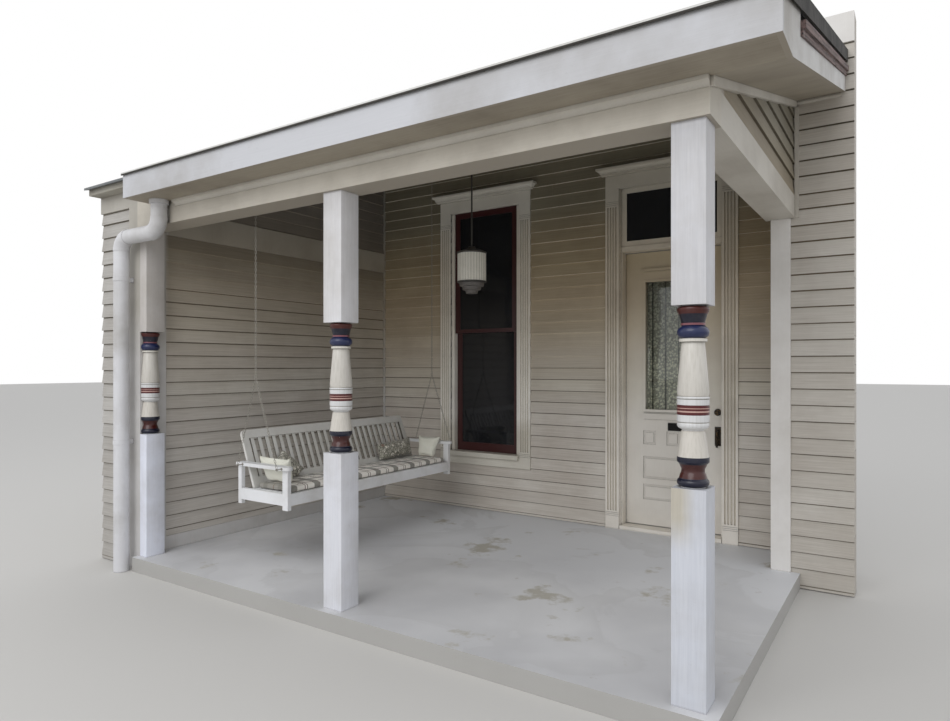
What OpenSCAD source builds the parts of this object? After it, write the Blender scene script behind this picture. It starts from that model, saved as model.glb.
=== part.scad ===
// Front porch of a timber house: a concrete floor, three painted turned posts under a boxed
// beam, a shed roof that dies into the house, the wall with its door and tall window, and a
// hanging swing. X runs along the front, Y runs into the house, Z is up. The origin lies on
// the ground under the axis of the corner post.

/* [Floor] */
// Height of the concrete floor above the ground
floor_h = 100; // [70:1:200]
// From the posts' centre line back to the boarding of the house wall
porch_d = 2609; // [2500:1:2900]
// From the corner post's axis to the boarding of the left wing
porch_w = 3936; // [3800:1:4200]
// Floor in front of the posts' centre line
floor_lip = 118; // [95:1:180]
// Floor beyond the corner post's axis
floor_side = 122; // [95:1:180]

/* [Posts] */
// Side of a post's square blocks
post_w = 140; // [125:1:160]
// Height of the square block that stands on the floor
foot_block_h = 880; // [700:1:1000]
// Height of the turned length
turning_h = 738; // [600:1:850]
// Height of the square block under the beam
head_block_h = 736; // [600:1:900]
// Radius of the fattest beads of the turning
turning_r = 64; // [56:1:68]
// From the corner post's axis to the middle post's axis
post_gap = 1981; // [1800:1:2150]
// How far the half post stands out from the left wing
half_post_out = 80; // [75:1:110]

/* [Beams] */
// Width of the boxed beams
beam_w = 180; // [165:1:220]
// Height of the beam's outer face up to the eave soffit
beam_h = 146; // [120:1:200]
// Height of the cove moulding under the soffit
bed_h = 40; // [25:1:60]
// How far the cove moulding stands out
bed_out = 30; // [15:1:45]

/* [Roof] */
// Lean of the roof from level
roof_lean = 15.96; // [11:0.01:18]
// From the beam's face to the front of the fascia
eave_out = 227; // [180:1:300]
// From the side beam's face to the outside of the rake board
rake_out = 294; // [220:1:360]
// Height of the front fascia
fascia_h = 153; // [140:1:200]
// Height of the white rake board
rake_h = 98; // [85:1:110]
// Height of the brown moulding over the rake board
rake_mould_h = 62; // [40:1:70]
// Where the brown moulding starts behind the posts' centre line
rake_mould_from = 100; // [60:1:700]
// Thickness of the trim boards
board_t = 22; // [18:1:28]
// Thickness of the ceiling boards
ceiling_t = 15; // [10:1:20]
// Thickness of the boards that deck the roof
deck_t = 30; // [20:1:35]
// Thickness of the roofing
roofing_t = 17; // [10:1:25]
// How far the roofing laps past the boards under it
roofing_lap = 15; // [5:1:25]
// Thickness of a rafter
rafter_t = 38; // [35:1:50]
// Spacing of the rafters
rafter_gap = 610; // [400:1:620]
// Length of the eave that stops short of the left wing
eave_stop = 266; // [200:1:320]

/* [House walls] */
// Thickness of the house walls
wall_t = 150; // [130:1:180]
// From the posts' centre line back to the boarding of the right wing
wing_d = 2116; // [2000:1:2250]
// How far the right wing reaches past the roof before it is cut
wing_past = 36; // [20:1:200]
// How far the left wing reaches past its corner before it is cut
left_stub = 514; // [400:1:700]
// From the corner post's axis in to the side of the recess
reveal_in = 34; // [20:1:45]
// How far the right wing's wall rises over the porch roof
wing_over = 280; // [200:1:400]
// Width of the corner boards
corner_w = 122; // [100:1:150]
// Width of the side leg of the left corner board
corner_leg = 200; // [160:1:240]
// Height of the frieze boards
frieze_h = 202; // [150:1:230]

/* [Door] */
// Middle of the door, from the corner post's axis towards the left wing
door_x = 905; // [860:1:950]
// Width of the door leaf
door_w = 813; // [762:1:850]
// Height of the door leaf
door_h = 2286; // [2000:1:2300]
// Thickness of the door leaf
door_t = 44; // [40:1:50]
// Gap round the door leaf
door_gap = 6.5; // [6:0.5:9]
// Height of the threshold
threshold_h = 32; // [20:1:45]
// Thickness of the frame round the door
frame_t = 20; // [18:1:30]
// Width of the door's glass
door_glass_w = 458; // [380:1:500]
// Height of the door's glass
door_glass_h = 1066; // [900:1:1080]
// Height of the leaf's rail over the glass
top_rail = 250; // [200:1:300]
// Width of the casings round door and window
casing_w = 118; // [100:1:130]
// Thickness of the casings
casing_t = 24; // [22:1:30]
// Height of the board over door and window
head_h = 130; // [100:1:150]
// Height of the crown over that board
crown_h = 44; // [35:1:60]
// How far the crown stands out
crown_out = 64; // [45:1:75]
// Room between the crowns and the ceiling
head_room = 209; // [120:1:400]

/* [Window] */
// Middle of the window, from the corner post's axis towards the left wing
window_x = 2674; // [2600:1:2720]
// Width of a sash
sash_w = 697; // [620:1:740]
// Height of the sill above the floor
sill_z = 546; // [450:1:650]
// Height of the meeting rails above the floor
meeting_z = 1710; // [1500:1:1900]
// Thickness of a sash
sash_t = 35; // [30:1:40]
// Width of the sash stiles
stile_w = 55; // [40:1:65]
// Height of the apron under the sill
apron_h = 78; // [60:1:110]

/* [Swing] */
// Length of the bench along its back
bench_l = 1915; // [1600:1:1960]
// Middle of the bench behind the posts' centre line
bench_y = 1227; // [1160:1:1250]
// Distance of the bench's front edge from the corner post's axis
bench_front = 2710; // [2650:1:2800]
// Depth of the bench along the arms
bench_d = 570; // [520:1:600]
// Height of the top of the seat frame above the floor
seat_z = 505; // [440:1:540]
// Height of the top of the arms above the floor
arm_z = 690; // [640:1:720]
// Length of the leaning back above the seat frame
back_h = 444; // [360:1:480]
// Lean of the back from upright
back_lean = 21; // [8:1:24]
// Number of slats in the back
slat_n = 26; // [16:1:30]
// Height above the floor at which each chain divides
fork_z = 1295; // [1150:1:1400]
// Thickness of the chains
chain_t = 14; // [10:1:18]

/* [Lantern and downspout] */
// Distance of the lantern from the corner post's axis, towards the left wing
lantern_x = 1950; // [1900:1:2050]
// Distance of the lantern behind the posts' centre line
lantern_y = 1300; // [1200:1:1500]
// Height of the shade's rim above the floor
shade_z = 1990; // [1900:1:2100]
// Height of the shade
shade_h = 200; // [160:1:240]
// Radius of the shade
shade_r = 105; // [90:1:130]
// Radius of the downspout
spout_r = 52; // [40:1:60]
// Radius of the downspout's bends
spout_bend = 95; // [80:1:110]
// From the left end of the porch eave to the roof outlet
outlet_in = 130; // [100:1:200]
// From the corner of the left wing out to the axis of the pipe
pipe_out = 74; // [60:1:110]
// Space between the downspout and the beam
spout_gap = 11; // [5:1:20]

/* [Hidden] */
$fn = 48;
sliver = 1;
slope = tan(roof_lean);

// Levels
floor_z = floor_h;
beam_z = floor_z + foot_block_h + turning_h + head_block_h;
soffit_z = beam_z + beam_h;
eave_z = soffit_z + fascia_h;

// Lines in plan
beam_face = beam_w / 2;
fascia_y = -beam_face - eave_out;
rake_x = beam_face + rake_out;
left_x = -porch_w;
trim_x = left_x + board_t;
reveal_x = -reveal_in;
wing_end = rake_x + roofing_lap + wing_past;
siding_gap = 15;
edge_t = 3;
edge_lip = 30;
nail_gap = 0.1;
rest_gap = 0.3;
gable_x = beam_face - siding_gap;
back_y = porch_d + wall_t;
eave_left = left_x + eave_stop;
left_end = left_x - left_stub;

// Roof lines: the underside of the ceiling, of the rafters and of the deck
function under(y) = soffit_z + slope * (y + beam_face);
function rafter_z(y) = under(y) + ceiling_t;
function deck_z(y) = eave_z + slope * (y - fascia_y) - deck_t;
function roof_z(y) = deck_z(y) + deck_t;
function wall_z(y) = deck_z(y) - nail_gap;

// Walls
wall_front = -post_w / 2 + board_t;
left_eave_y = wall_front - 110;
left_top = eave_z;
wing_top = roof_z(wing_d) + wing_over;
corner_bead = 25;
wall_cove = 24;
skirt_h = 100;
belt_h = 190;

// Doorway, leaf and glass over the door
transom_bar = 45;
transom_rail = 45;
door_left = -door_x - door_w / 2 - door_gap - frame_t;
door_right = -door_x + door_w / 2 + door_gap + frame_t;
leaf_x = -door_x - door_w / 2;
leaf_y = back_y - door_t;
leaf_z = floor_z + threshold_h + door_gap;
transom_y = porch_d + board_t + 10;
transom_z = leaf_z + door_h + door_gap;
casing_lap = 6;
head_z = under(porch_d - casing_t - crown_out) - head_room - crown_h - head_h;
door_top = head_z + frame_t + casing_lap;
stop_w = 12;
glass_t = 4;
glass_set = 6;
groove = 5;
glass_z = leaf_z + door_h - top_rail - door_glass_h;
ledge_h = 45;
ledge_z = glass_z - 80;
ledge_out = 20;
crest_h = 22;
crest_z = glass_z + door_glass_h + 90;
panel_half = 250;
panel_t = 8;
panel_bead = 18;
small_panel_w = 106;
small_panel_h = 115;
small_panel_z = ledge_z - 214;
wide_panel_h = 185;
wide_panel_z = small_panel_z - 286;
low_panel_h = 128;
low_panel_z = wide_panel_z - 177;
lock_x = leaf_x + door_w - 48;
bolt_z = glass_z - 4;
plate_h = 150;
plate_z = glass_z - 270;
grip_out = 44;
grip_top = plate_z + 120;
slot_z = ledge_z - 90;
slot_h = 64;
slot_w = 254;
curtain_t = 8;
bead_w = 20;
inner_bead = 8;
rod_r = 5;
rod_y = back_y + inner_bead + rod_r + 1;
rod_z = glass_z + door_glass_h + 25;
rod_half = door_glass_w / 2 + 45;

// Casings
casing_half = door_w / 2 + door_gap + 5;
flute_r = 7;

// Hinges
knuckle_r = 6;
hinge_x = leaf_x - door_gap / 2;
hinge_y = back_y + knuckle_r;
hinge_h = 100;
hinge_z = [for (t = [0.1, 0.5, 0.9]) leaf_z + door_h * t - hinge_h / 2];

// Window
window_frame = 38;
sash_gap = 3;
window_half = sash_w / 2 + window_frame;
window_top = head_z + frame_t;
sill_t = 42;
upper_y = porch_d + 15;
lower_y = upper_y + sash_t + sash_gap;
meet_h = 36;
low_rail = 82;

// Downspout
collar_r = spout_r + 10;
spout_y = -beam_face - spout_r - spout_gap;
outlet_x = -eave_left - outlet_in;
pipe_x = -left_x + pipe_out;
spout_turn = 90;
spout_run = pipe_x - outlet_x - 2 * spout_bend;
spout_top = 115;

// Swing
bench_x0 = -bench_front - bench_d;
bench_x1 = -bench_front;
bench_y0 = bench_y - bench_l / 2;
bench_y1 = bench_y + bench_l / 2;
seat_top = floor_z + seat_z;
arm_top = floor_z + arm_z;
rail_h = 80;
plank = 20;
leg_w = 52;
rear_leg_w = 35;
leg_t = 30;
leg_in = 53;
leg_drop = 30;
arm_t = 24;
arm_w = 62;
arm_over = 20;
arm_corner = 28;
leg_x = bench_x1 - leg_in - leg_w;
front_x = leg_x + 15;
back_x = bench_x0 + rear_leg_w + 77;
back_stile = 50;
back_corner = 33;
back_foot = 50;
back_low = 30;
back_rail = 62;
slat_w = 30;
seat_board_n = 6;
chain_x = (bench_x0 + bench_x1) / 2 - 20;
chain_y = [bench_y0 - 40, bench_y1 + 40];
hook_drop = 40;
eye_r = 13;
cheek_t = 3;
wire_r = 3.5;
knot_r = 10;
link_play = 0.8;
bolt_x = [bench_x0 + rear_leg_w / 2 + 55, front_x];
cushion_t = 42;
pillow_rim = 6;
pillow_slump = 10;
crown_over = 16;
tipped_w = 230;
tipped_t = 48;
tipped_up = 87;
tipped_lean = 36;
tipped_turn = 32;
tipped_y = 335;
long_w = 445;
long_h = 180;
long_t = 60;
long_lean = 8;
long_turn = 3;
long_y = 350;
plain_t = 42;
plain_h = 210;
plain_lean = 16;
near_plain_x = 35;
near_plain_w = 345;
near_plain_foot = 220;
far_plain_x = 75;
far_plain_w = 260;
far_plain_foot = 150;
pillow_z = seat_top + cushion_t + rest_gap;

// A box between two corners
module box(lo, hi) {
    translate(lo) cube([hi[0] - lo[0], hi[1] - lo[1], hi[2] - lo[2]]);
}

// An outline in depth and height, drawn out along the front from x0 to x1
module along_x(x0, x1) {
    translate([x0, 0, 0]) rotate([90, 0, 90]) linear_extrude(x1 - x0) children();
}

// A layer that follows the roof between two depths
module roof_layer(x0, x1, y0, y1, low, thick) {
    along_x(x0, x1) polygon([[y0, low + slope * y0], [y1, low + slope * y1],
        [y1, low + slope * y1 + thick], [y0, low + slope * y0 + thick]]);
}

// FLOOR

module floor_slab() {
    color("#a9a8a6") linear_extrude(floor_h) polygon([
        [left_x, -floor_lip], [floor_side, -floor_lip], [floor_side, wing_d],
        [reveal_x, wing_d], [reveal_x, porch_d], [door_right, porch_d], [door_right, back_y],
        [door_left, back_y], [door_left, porch_d], [left_x, porch_d]]);
}

// POSTS

// Points on a round stretch of an outline
function arc(cx, cz, r, from, to, n = 6) =
    [for (i = [0:n]) let (a = from + (to - from) * i / n) [cx + r * cos(a), cz + r * sin(a)]];

// The turning from its foot up: a bead, a cove, a fillet, a short taper, a banded collar,
// a long taper, and a bead, a neck and an ovolo under the head block
function turning_outline(r, h) = concat(
    [[0, 0], [r * 0.78, 0]],
    arc(r - h * 0.023, h * 0.027, h * 0.023, -80, 60),
    arc(r * 1.13, h * 0.093, r * 0.41, 215, 145),
    [[r * 0.86, h * 0.128], [r, h * 0.14], [r, h * 0.164], [r * 0.97, h * 0.176]],
    [[r * 0.74, h * 0.308], [r * 0.66, h * 0.314]],
    arc(r * 0.72, h * 0.345, r * 0.27, -80, 0),
    [[r * 0.98, h * 0.352], [r * 0.95, h * 0.358], [r, h * 0.363], [r, h * 0.396],
     [r * 0.975, h * 0.399], [r, h * 0.402], [r, h * 0.449], [r * 0.975, h * 0.452],
     [r, h * 0.455], [r, h * 0.482], [r * 0.96, h * 0.485]],
    arc(r * 0.94, h * 0.493, h * 0.007, -60, 60),
    [[r * 0.95, h * 0.505], [r, h * 0.522], [r * 0.73, h * 0.792], [r * 0.71, h * 0.798],
     [r * 0.87, h * 0.8], [r * 0.87, h * 0.816]],
    arc(r - h * 0.034, h * 0.853, h * 0.034, -75, 75),
    [[r * 0.76, h * 0.89], [r * 0.76, h * 0.902], [r * 0.73, h * 0.905]],
    [[r * 0.86, h * 0.95], [r * 0.97, h * 0.965]],
    arc(r - h * 0.014, h * 0.979, h * 0.014, -30, 90),
    [[0, h * 0.993]]);

module turned_post(x) {
    translate([x, 0, floor_z]) {
        box([-post_w / 2, -post_w / 2, 0], [post_w / 2, post_w / 2, foot_block_h]);
        translate([0, 0, foot_block_h]) rotate_extrude($fn = 64)
            polygon(turning_outline(turning_r, turning_h));
        translate([0, 0, foot_block_h + turning_h * 0.99]) cylinder(r = turning_r * 0.75, h = turning_h * 0.01);
        box([-post_w / 2, -post_w / 2, foot_block_h + turning_h],
            [post_w / 2, post_w / 2, foot_block_h + turning_h + head_block_h]);
    }
}

module corner_post() {
    color("#eceef2") turned_post(0);
}

module middle_post() {
    color("#eceef2") turned_post(-post_gap);
}

// A post sawn upright, its flat side on the corner board
module half_post() {
    color("#eceef2") intersection() {
        turned_post(trim_x + half_post_out - post_w / 2);
        box([trim_x, -post_w, floor_z], [trim_x + post_w, post_w, beam_z]);
    }
}

// BEAMS

// The boxed front beam, higher in the corner where the two roofs meet
module front_beam() {
    color("#d6d0c6") {
        along_x(trim_x, beam_face) polygon([
            [-beam_face, beam_z], [beam_face, beam_z],
            [beam_face, rafter_z(beam_face)], [-beam_face, rafter_z(-beam_face)]]);
        box([trim_x, -beam_face, soffit_z], [eave_left - board_t, beam_face, left_top]);
    }
}

module side_beam() {
    color("#d6d0c6") box([-beam_face, beam_face, beam_z], [beam_face, wing_d, soffit_z]);
}

// A cove moulding in the angle of beam and soffit, a sloping board under the rake soffit, and
// a cove and an upright bead in the angle with the right wing
module soffit_mouldings() {
    color("#d6d0c6") along_x(-outlet_x + collar_r + bed_out, beam_face) difference() {
        translate([-beam_face - bed_out, soffit_z - bed_h]) square([bed_out, bed_h]);
        translate([-beam_face - bed_out, soffit_z - bed_h]) circle(r = bed_out * 0.8);
    }
    color("#c9c2b6") {
        roof_layer(beam_face, beam_face + siding_gap, -beam_face, wing_d, under(0) - bed_h, bed_h);
        roof_layer(gable_x, beam_face, beam_face, wing_d, under(0) - bed_h, bed_h);
        along_x(beam_face + siding_gap, rake_x - board_t) polygon([
            [wing_d - wall_cove, under(wing_d - wall_cove) - nail_gap],
            [wing_d - wall_cove, under(wing_d - wall_cove) - wall_cove * 0.6],
            [wing_d - wall_cove * 0.4, under(wing_d - wall_cove) - wall_cove],
            [wing_d, under(wing_d - wall_cove) - wall_cove], [wing_d, under(wing_d) - nail_gap]]);
        box([beam_face, wing_d - corner_bead, beam_z],
            [beam_face + corner_bead, wing_d, under(wing_d - corner_bead) - bed_h - nail_gap]);
    }
}

// ROOF

module front_fascia() {
    color("#d9dae0") {
        box([eave_left, fascia_y, soffit_z], [rake_x, fascia_y + board_t, eave_z]);
        along_x(eave_left - board_t, eave_left) polygon([
            [fascia_y, soffit_z], [-beam_face, soffit_z],
            [-beam_face, deck_z(-beam_face)], [fascia_y, eave_z]]);
    }
}

// The soffit: flat behind the fascia, then rising with the roof behind the rake board
module soffit() {
    color("#b3aa9c") {
        difference() {
            box([eave_left, fascia_y + board_t, soffit_z],
                [rake_x - board_t, -beam_face, soffit_z + ceiling_t]);
            translate([-outlet_x, spout_y, soffit_z - sliver])
                cylinder(r = spout_r, h = ceiling_t + 2 * sliver);
        }
        roof_layer(beam_face, rake_x - board_t, -beam_face, wing_d, under(0), ceiling_t);
    }
}

// The rake board: full height at the eave, then low with a moulding over it
module rake_board() {
    color("#d4d2cc") along_x(rake_x - board_t, rake_x) polygon([
        [fascia_y + board_t, soffit_z], [-beam_face, soffit_z], [wing_d, under(wing_d)],
        [wing_d, under(wing_d) + rake_h], [rake_mould_from, under(rake_mould_from) + rake_h],
        [rake_mould_from, roof_z(rake_mould_from)], [fascia_y + board_t, roof_z(fascia_y + board_t)]]);
}

module rake_moulding() {
    color("#8b6f66") {
        roof_layer(rake_x - board_t, rake_x + board_t * 0.4, rake_mould_from, wing_d,
            under(0) + rake_h, rake_mould_h * 0.45);
        roof_layer(rake_x - board_t, rake_x + board_t * 0.9, rake_mould_from, wing_d,
            under(0) + rake_h + rake_mould_h * 0.45, rake_mould_h * 0.55);
    }
}

module gable_wall() {
    color("#a39a8e") along_x(reveal_x, gable_x) polygon([
        [beam_face, soffit_z], [wing_d, soffit_z], [wing_d, rafter_z(wing_d)],
        [beam_face, rafter_z(beam_face)]]);
}

module rafters() {
    color("#c8a878") for (x = [rake_x - board_t - rafter_t:-rafter_gap:left_x])
        let (back = x + rafter_t > reveal_x ? wing_d : porch_d, front = fascia_y + board_t)
            along_x(x, x + rafter_t) polygon([
                [front, rafter_z(-beam_face) + nail_gap], [-beam_face, rafter_z(-beam_face) + nail_gap],
                [back, rafter_z(back) + nail_gap], [back, deck_z(back) - nail_gap],
                [front, deck_z(front) - nail_gap]]);
}

// The plan of the roof: over the porch, over the rake and over the left wing's wall
module over_roof(low, thick, front, side) {
    roof_layer(eave_left, reveal_x, fascia_y + front, back_y, low, thick);
    roof_layer(reveal_x, rake_x + side, fascia_y + front, wing_d, low, thick);
    roof_layer(left_x - wall_t, eave_left, wall_front + wall_t, back_y, low, thick);
}

module roof_deck() {
    color("#6b6258") over_roof(deck_z(0), deck_t, board_t, -board_t);
}

// The roofing, with a metal edge along the rake
module roofing() {
    color("#6f7478") {
        over_roof(roof_z(0), roofing_t, -roofing_lap, roofing_lap);
        roof_layer(left_end, eave_left, left_eave_y - roofing_lap, wall_front + wall_t,
            roof_z(0), roofing_t);
        roof_layer(rake_x + roofing_lap - edge_t, rake_x + roofing_lap, fascia_y - roofing_lap, wing_d,
            deck_z(0), deck_t + roofing_t + edge_lip);
    }
}

module ceiling() {
    color("#6f675d") roof_layer(left_x, reveal_x, beam_face, porch_d, under(0), ceiling_t);
}

// HOUSE WALLS

// The porch wall is split beside and over the doorway
module porch_wall_left() {
    color("#a89f93") difference() {
        along_x(left_x, door_left) polygon([[porch_d, 0], [back_y, 0],
            [back_y, wall_z(back_y)], [porch_d, wall_z(porch_d)]]);
        box([-window_x - window_half, porch_d - sliver, floor_z + sill_z - sill_t],
            [-window_x + window_half, back_y + sliver, window_top]);
    }
}

module porch_wall_right() {
    color("#a89f93") along_x(door_right, reveal_x) polygon([[porch_d, 0], [back_y, 0],
        [back_y, wall_z(back_y)], [porch_d, wall_z(porch_d)]]);
}

module porch_wall_over_door() {
    color("#a89f93") along_x(door_left, door_right) polygon([[porch_d, door_top],
        [back_y, door_top], [back_y, wall_z(back_y)], [porch_d, wall_z(porch_d)]]);
}

// The left wing: its side wall along the porch and a stub of its front wall
module left_wing_wall() {
    color("#a89f93") {
        along_x(left_x - wall_t, left_x) polygon([
            [wall_front, 0], [back_y, 0], [back_y, wall_z(back_y)],
            [wall_front + wall_t, wall_z(wall_front + wall_t)],
            [wall_front + wall_t, left_top], [wall_front, left_top]]);
        box([left_end, wall_front, 0], [left_x - wall_t, wall_front + wall_t, left_top]);
    }
}

// The closed eave of the left wing, which the porch eave runs against
module left_eave() {
    color("#9c9a90") along_x(left_end, eave_left - board_t) polygon([
        [left_eave_y, left_top], [wall_front + wall_t, left_top],
        [wall_front + wall_t, roof_z(wall_front + wall_t)], [left_eave_y, roof_z(left_eave_y)]]);
}

// The corner boards, of which the longer stands behind the half post, the frieze boards, a
// skirt board and the bead in the corner
module left_trim_boards() {
    leg_y = wall_front - board_t + corner_leg;
    frieze_top = min(beam_z + frieze_h, under(beam_face) - rest_gap);
    color("#d5d5d6") {
        box([left_x - corner_w, wall_front - board_t, 0], [left_x, wall_front, left_top]);
        box([left_x, wall_front - board_t, floor_z], [trim_x, leg_y, beam_z]);
        box([left_x, wall_front - board_t, beam_z], [trim_x, beam_face, left_top]);
    }
    color("#b5aea3") {
        box([left_end, wall_front - board_t, left_top - corner_w],
            [left_x - corner_w, wall_front, left_top]);
        box([left_x, beam_face, beam_z], [trim_x, porch_d - corner_bead, frieze_top]);
        box([left_x, leg_y, floor_z], [trim_x, porch_d - corner_bead, floor_z + skirt_h]);
        box([left_x, porch_d - corner_bead, floor_z],
            [left_x + corner_bead, porch_d, under(porch_d - corner_bead)]);
    }
}

module right_wing_wall() {
    color("#b3aca3") linear_extrude(wing_top) polygon([
        [reveal_x, wing_d], [wing_end, wing_d], [wing_end, wing_d + wall_t],
        [reveal_x + wall_t, wing_d + wall_t], [reveal_x + wall_t, back_y], [reveal_x, back_y]]);
}

// The corner board that the side beam rests on, and the belt board over the roof
module right_trim_boards() {
    color("#d8d6d2") {
        box([reveal_x - board_t, wing_d - casing_t, floor_z],
            [reveal_x - board_t + corner_w, wing_d, beam_z]);
        box([reveal_x - board_t, wing_d, floor_z], [reveal_x, wing_d + corner_w * 0.7, beam_z]);
        box([reveal_x, wing_d - board_t, wing_top - belt_h], [wing_end, wing_d, wing_top]);
    }
}

// DOOR

// A casing leg: a plain block at foot and head, flutes between them
module casing_leg(x, z0, z1) {
    plain = casing_w * 1.3;
    difference() {
        box([x, porch_d - casing_t, z0], [x + casing_w, porch_d, z1]);
        for (i = [1:4]) translate([x + casing_w * i / 5, porch_d - casing_t, z0 + plain])
            cylinder(r = flute_r, h = z1 - z0 - 2 * plain);
        for (z = [z0 + plain * 0.8, z1 - plain * 0.8], k = [-1:1])
            box([x - sliver, porch_d - casing_t - sliver, z + k * 14 - 2],
                [x + casing_w + sliver, porch_d - casing_t + 4, z + k * 14 + 2]);
    }
}

// The board and the crown over a door or window, the crown hollowed under its edges
module casing_head(x0, x1, z) {
    box([x0, porch_d - casing_t, z], [x1, porch_d, z + head_h]);
    difference() {
        box([x0 - crown_out, porch_d - casing_t - crown_out, z + head_h],
            [x1 + crown_out, porch_d, z + head_h + crown_h]);
        translate([x0 - crown_out - sliver, porch_d - casing_t - crown_out, z + head_h])
            rotate([0, 90, 0]) cylinder(r = crown_h * 0.62, h = x1 - x0 + 2 * crown_out + 2 * sliver);
        for (x = [x0 - crown_out, x1 + crown_out])
            translate([x, porch_d + sliver, z + head_h]) rotate([90, 0, 0])
                cylinder(r = crown_h * 0.62, h = casing_t + crown_out + 2 * sliver);
    }
    box([x0 - crown_out * 0.45, porch_d - casing_t - crown_out * 0.45, z + head_h - 16],
        [x1 + crown_out * 0.45, porch_d - casing_t, z + head_h]);
}

module door_casing() {
    color("#c4bcb0") {
        casing_leg(-door_x - casing_half - casing_w, floor_z, head_z);
        casing_leg(-door_x + casing_half, floor_z, head_z);
        casing_head(-door_x - casing_half - casing_w, -door_x + casing_half + casing_w, head_z);
    }
}

// The frame: two sides with a stop, a bar over the door, a head and a threshold
module door_frame() {
    color("#bdb5a9") {
        for (x = [door_left, door_right - frame_t])
            box([x, porch_d, floor_z], [x + frame_t, back_y, door_top]);
        for (x = [door_left + frame_t, door_right - frame_t - stop_w])
            box([x, porch_d + board_t, floor_z + threshold_h], [x + stop_w, leaf_y - door_gap, transom_z]);
        box([door_left + frame_t, porch_d + board_t, transom_z],
            [door_right - frame_t, back_y, transom_z + transom_bar]);
        box([door_left + frame_t, porch_d, door_top - frame_t],
            [door_right - frame_t, back_y, door_top]);
        box([door_left + frame_t, porch_d - casing_t, floor_z],
            [door_right - frame_t, back_y, floor_z + threshold_h]);
        sash(door_left + frame_t, door_right - frame_t, transom_y,
            transom_z + transom_bar, door_top - frame_t, transom_rail, transom_rail, transom_rail);
    }
}

// A sash: four rails round an opening, with a groove that holds the glass
module sash(x0, x1, y, z0, z1, side, low, high) {
    difference() {
        box([x0, y, z0], [x1, y + sash_t, z1]);
        box([x0 + side, y - sliver, z0 + low], [x1 - side, y + sash_t + sliver, z1 - high]);
        box([x0 + side - groove, y + glass_set, z0 + low - groove],
            [x1 - side + groove, y + glass_set + glass_t, z1 - high + groove]);
    }
}

// The pane of a sash
module sash_pane(x0, x1, y, z0, z1, side, low, high) {
    box([x0 + side - groove, y + glass_set, z0 + low - groove],
        [x1 - side + groove, y + glass_set + glass_t, z1 - high + groove]);
}

// The leaf: glass over a ledge, three small panels and two wide ones
module leaf_panel(x0, x1, z0, z1) {
    difference() {
        box([x0, leaf_y - sliver, z0], [x1, leaf_y + panel_t, z1]);
        box([x0 + panel_bead, leaf_y - 2 * sliver, z0 + panel_bead],
            [x1 - panel_bead, leaf_y + panel_t + sliver, z1 - panel_bead]);
    }
}

// A moulding round the glass, on the face of the leaf
module glass_bead(y0, y1) {
    difference() {
        box([-door_x - door_glass_w / 2 - bead_w, y0, glass_z - bead_w],
            [-door_x + door_glass_w / 2 + bead_w, y1, glass_z + door_glass_h + bead_w]);
        box([-door_x - door_glass_w / 2, y0 - sliver, glass_z],
            [-door_x + door_glass_w / 2, y1 + sliver, glass_z + door_glass_h]);
    }
}

module door_leaf() {
    color("#b8b0a4") {
        difference() {
            box([leaf_x, leaf_y, leaf_z], [leaf_x + door_w, leaf_y + door_t, leaf_z + door_h]);
            box([-door_x - door_glass_w / 2, leaf_y - sliver, glass_z],
                [-door_x + door_glass_w / 2, back_y + sliver, glass_z + door_glass_h]);
            for (k = [-1:1]) let (c = -door_x + k * (panel_half - small_panel_w / 2))
                leaf_panel(c - small_panel_w / 2, c + small_panel_w / 2,
                    small_panel_z, small_panel_z + small_panel_h);
            leaf_panel(-door_x - panel_half, -door_x + panel_half, wide_panel_z, wide_panel_z + wide_panel_h);
            leaf_panel(-door_x - panel_half, -door_x + panel_half, low_panel_z, low_panel_z + low_panel_h);
        }
        box([-door_x - panel_half, leaf_y - ledge_out, ledge_z],
            [-door_x + panel_half, leaf_y, ledge_z + ledge_h]);
        box([-door_x - panel_half, leaf_y - ledge_out, crest_z],
            [-door_x + panel_half, leaf_y, crest_z + crest_h]);
        glass_bead(leaf_y - 10, leaf_y);
        glass_bead(back_y, back_y + inner_bead);
    }
}

module door_glass() {
    color("#2a2d30") box([-door_x - door_glass_w / 2, leaf_y + door_t / 2 - glass_t / 2, glass_z],
        [-door_x + door_glass_w / 2, leaf_y + door_t / 2 + glass_t / 2, glass_z + door_glass_h]);
}

module lace_curtain() {
    color("#c9c8bf") box([-door_x - door_glass_w / 2 - 15, rod_y - curtain_t / 2, glass_z - 25],
        [-door_x + door_glass_w / 2 + 15, rod_y + curtain_t / 2, rod_z - rod_r - 0.3]);
}

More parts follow.
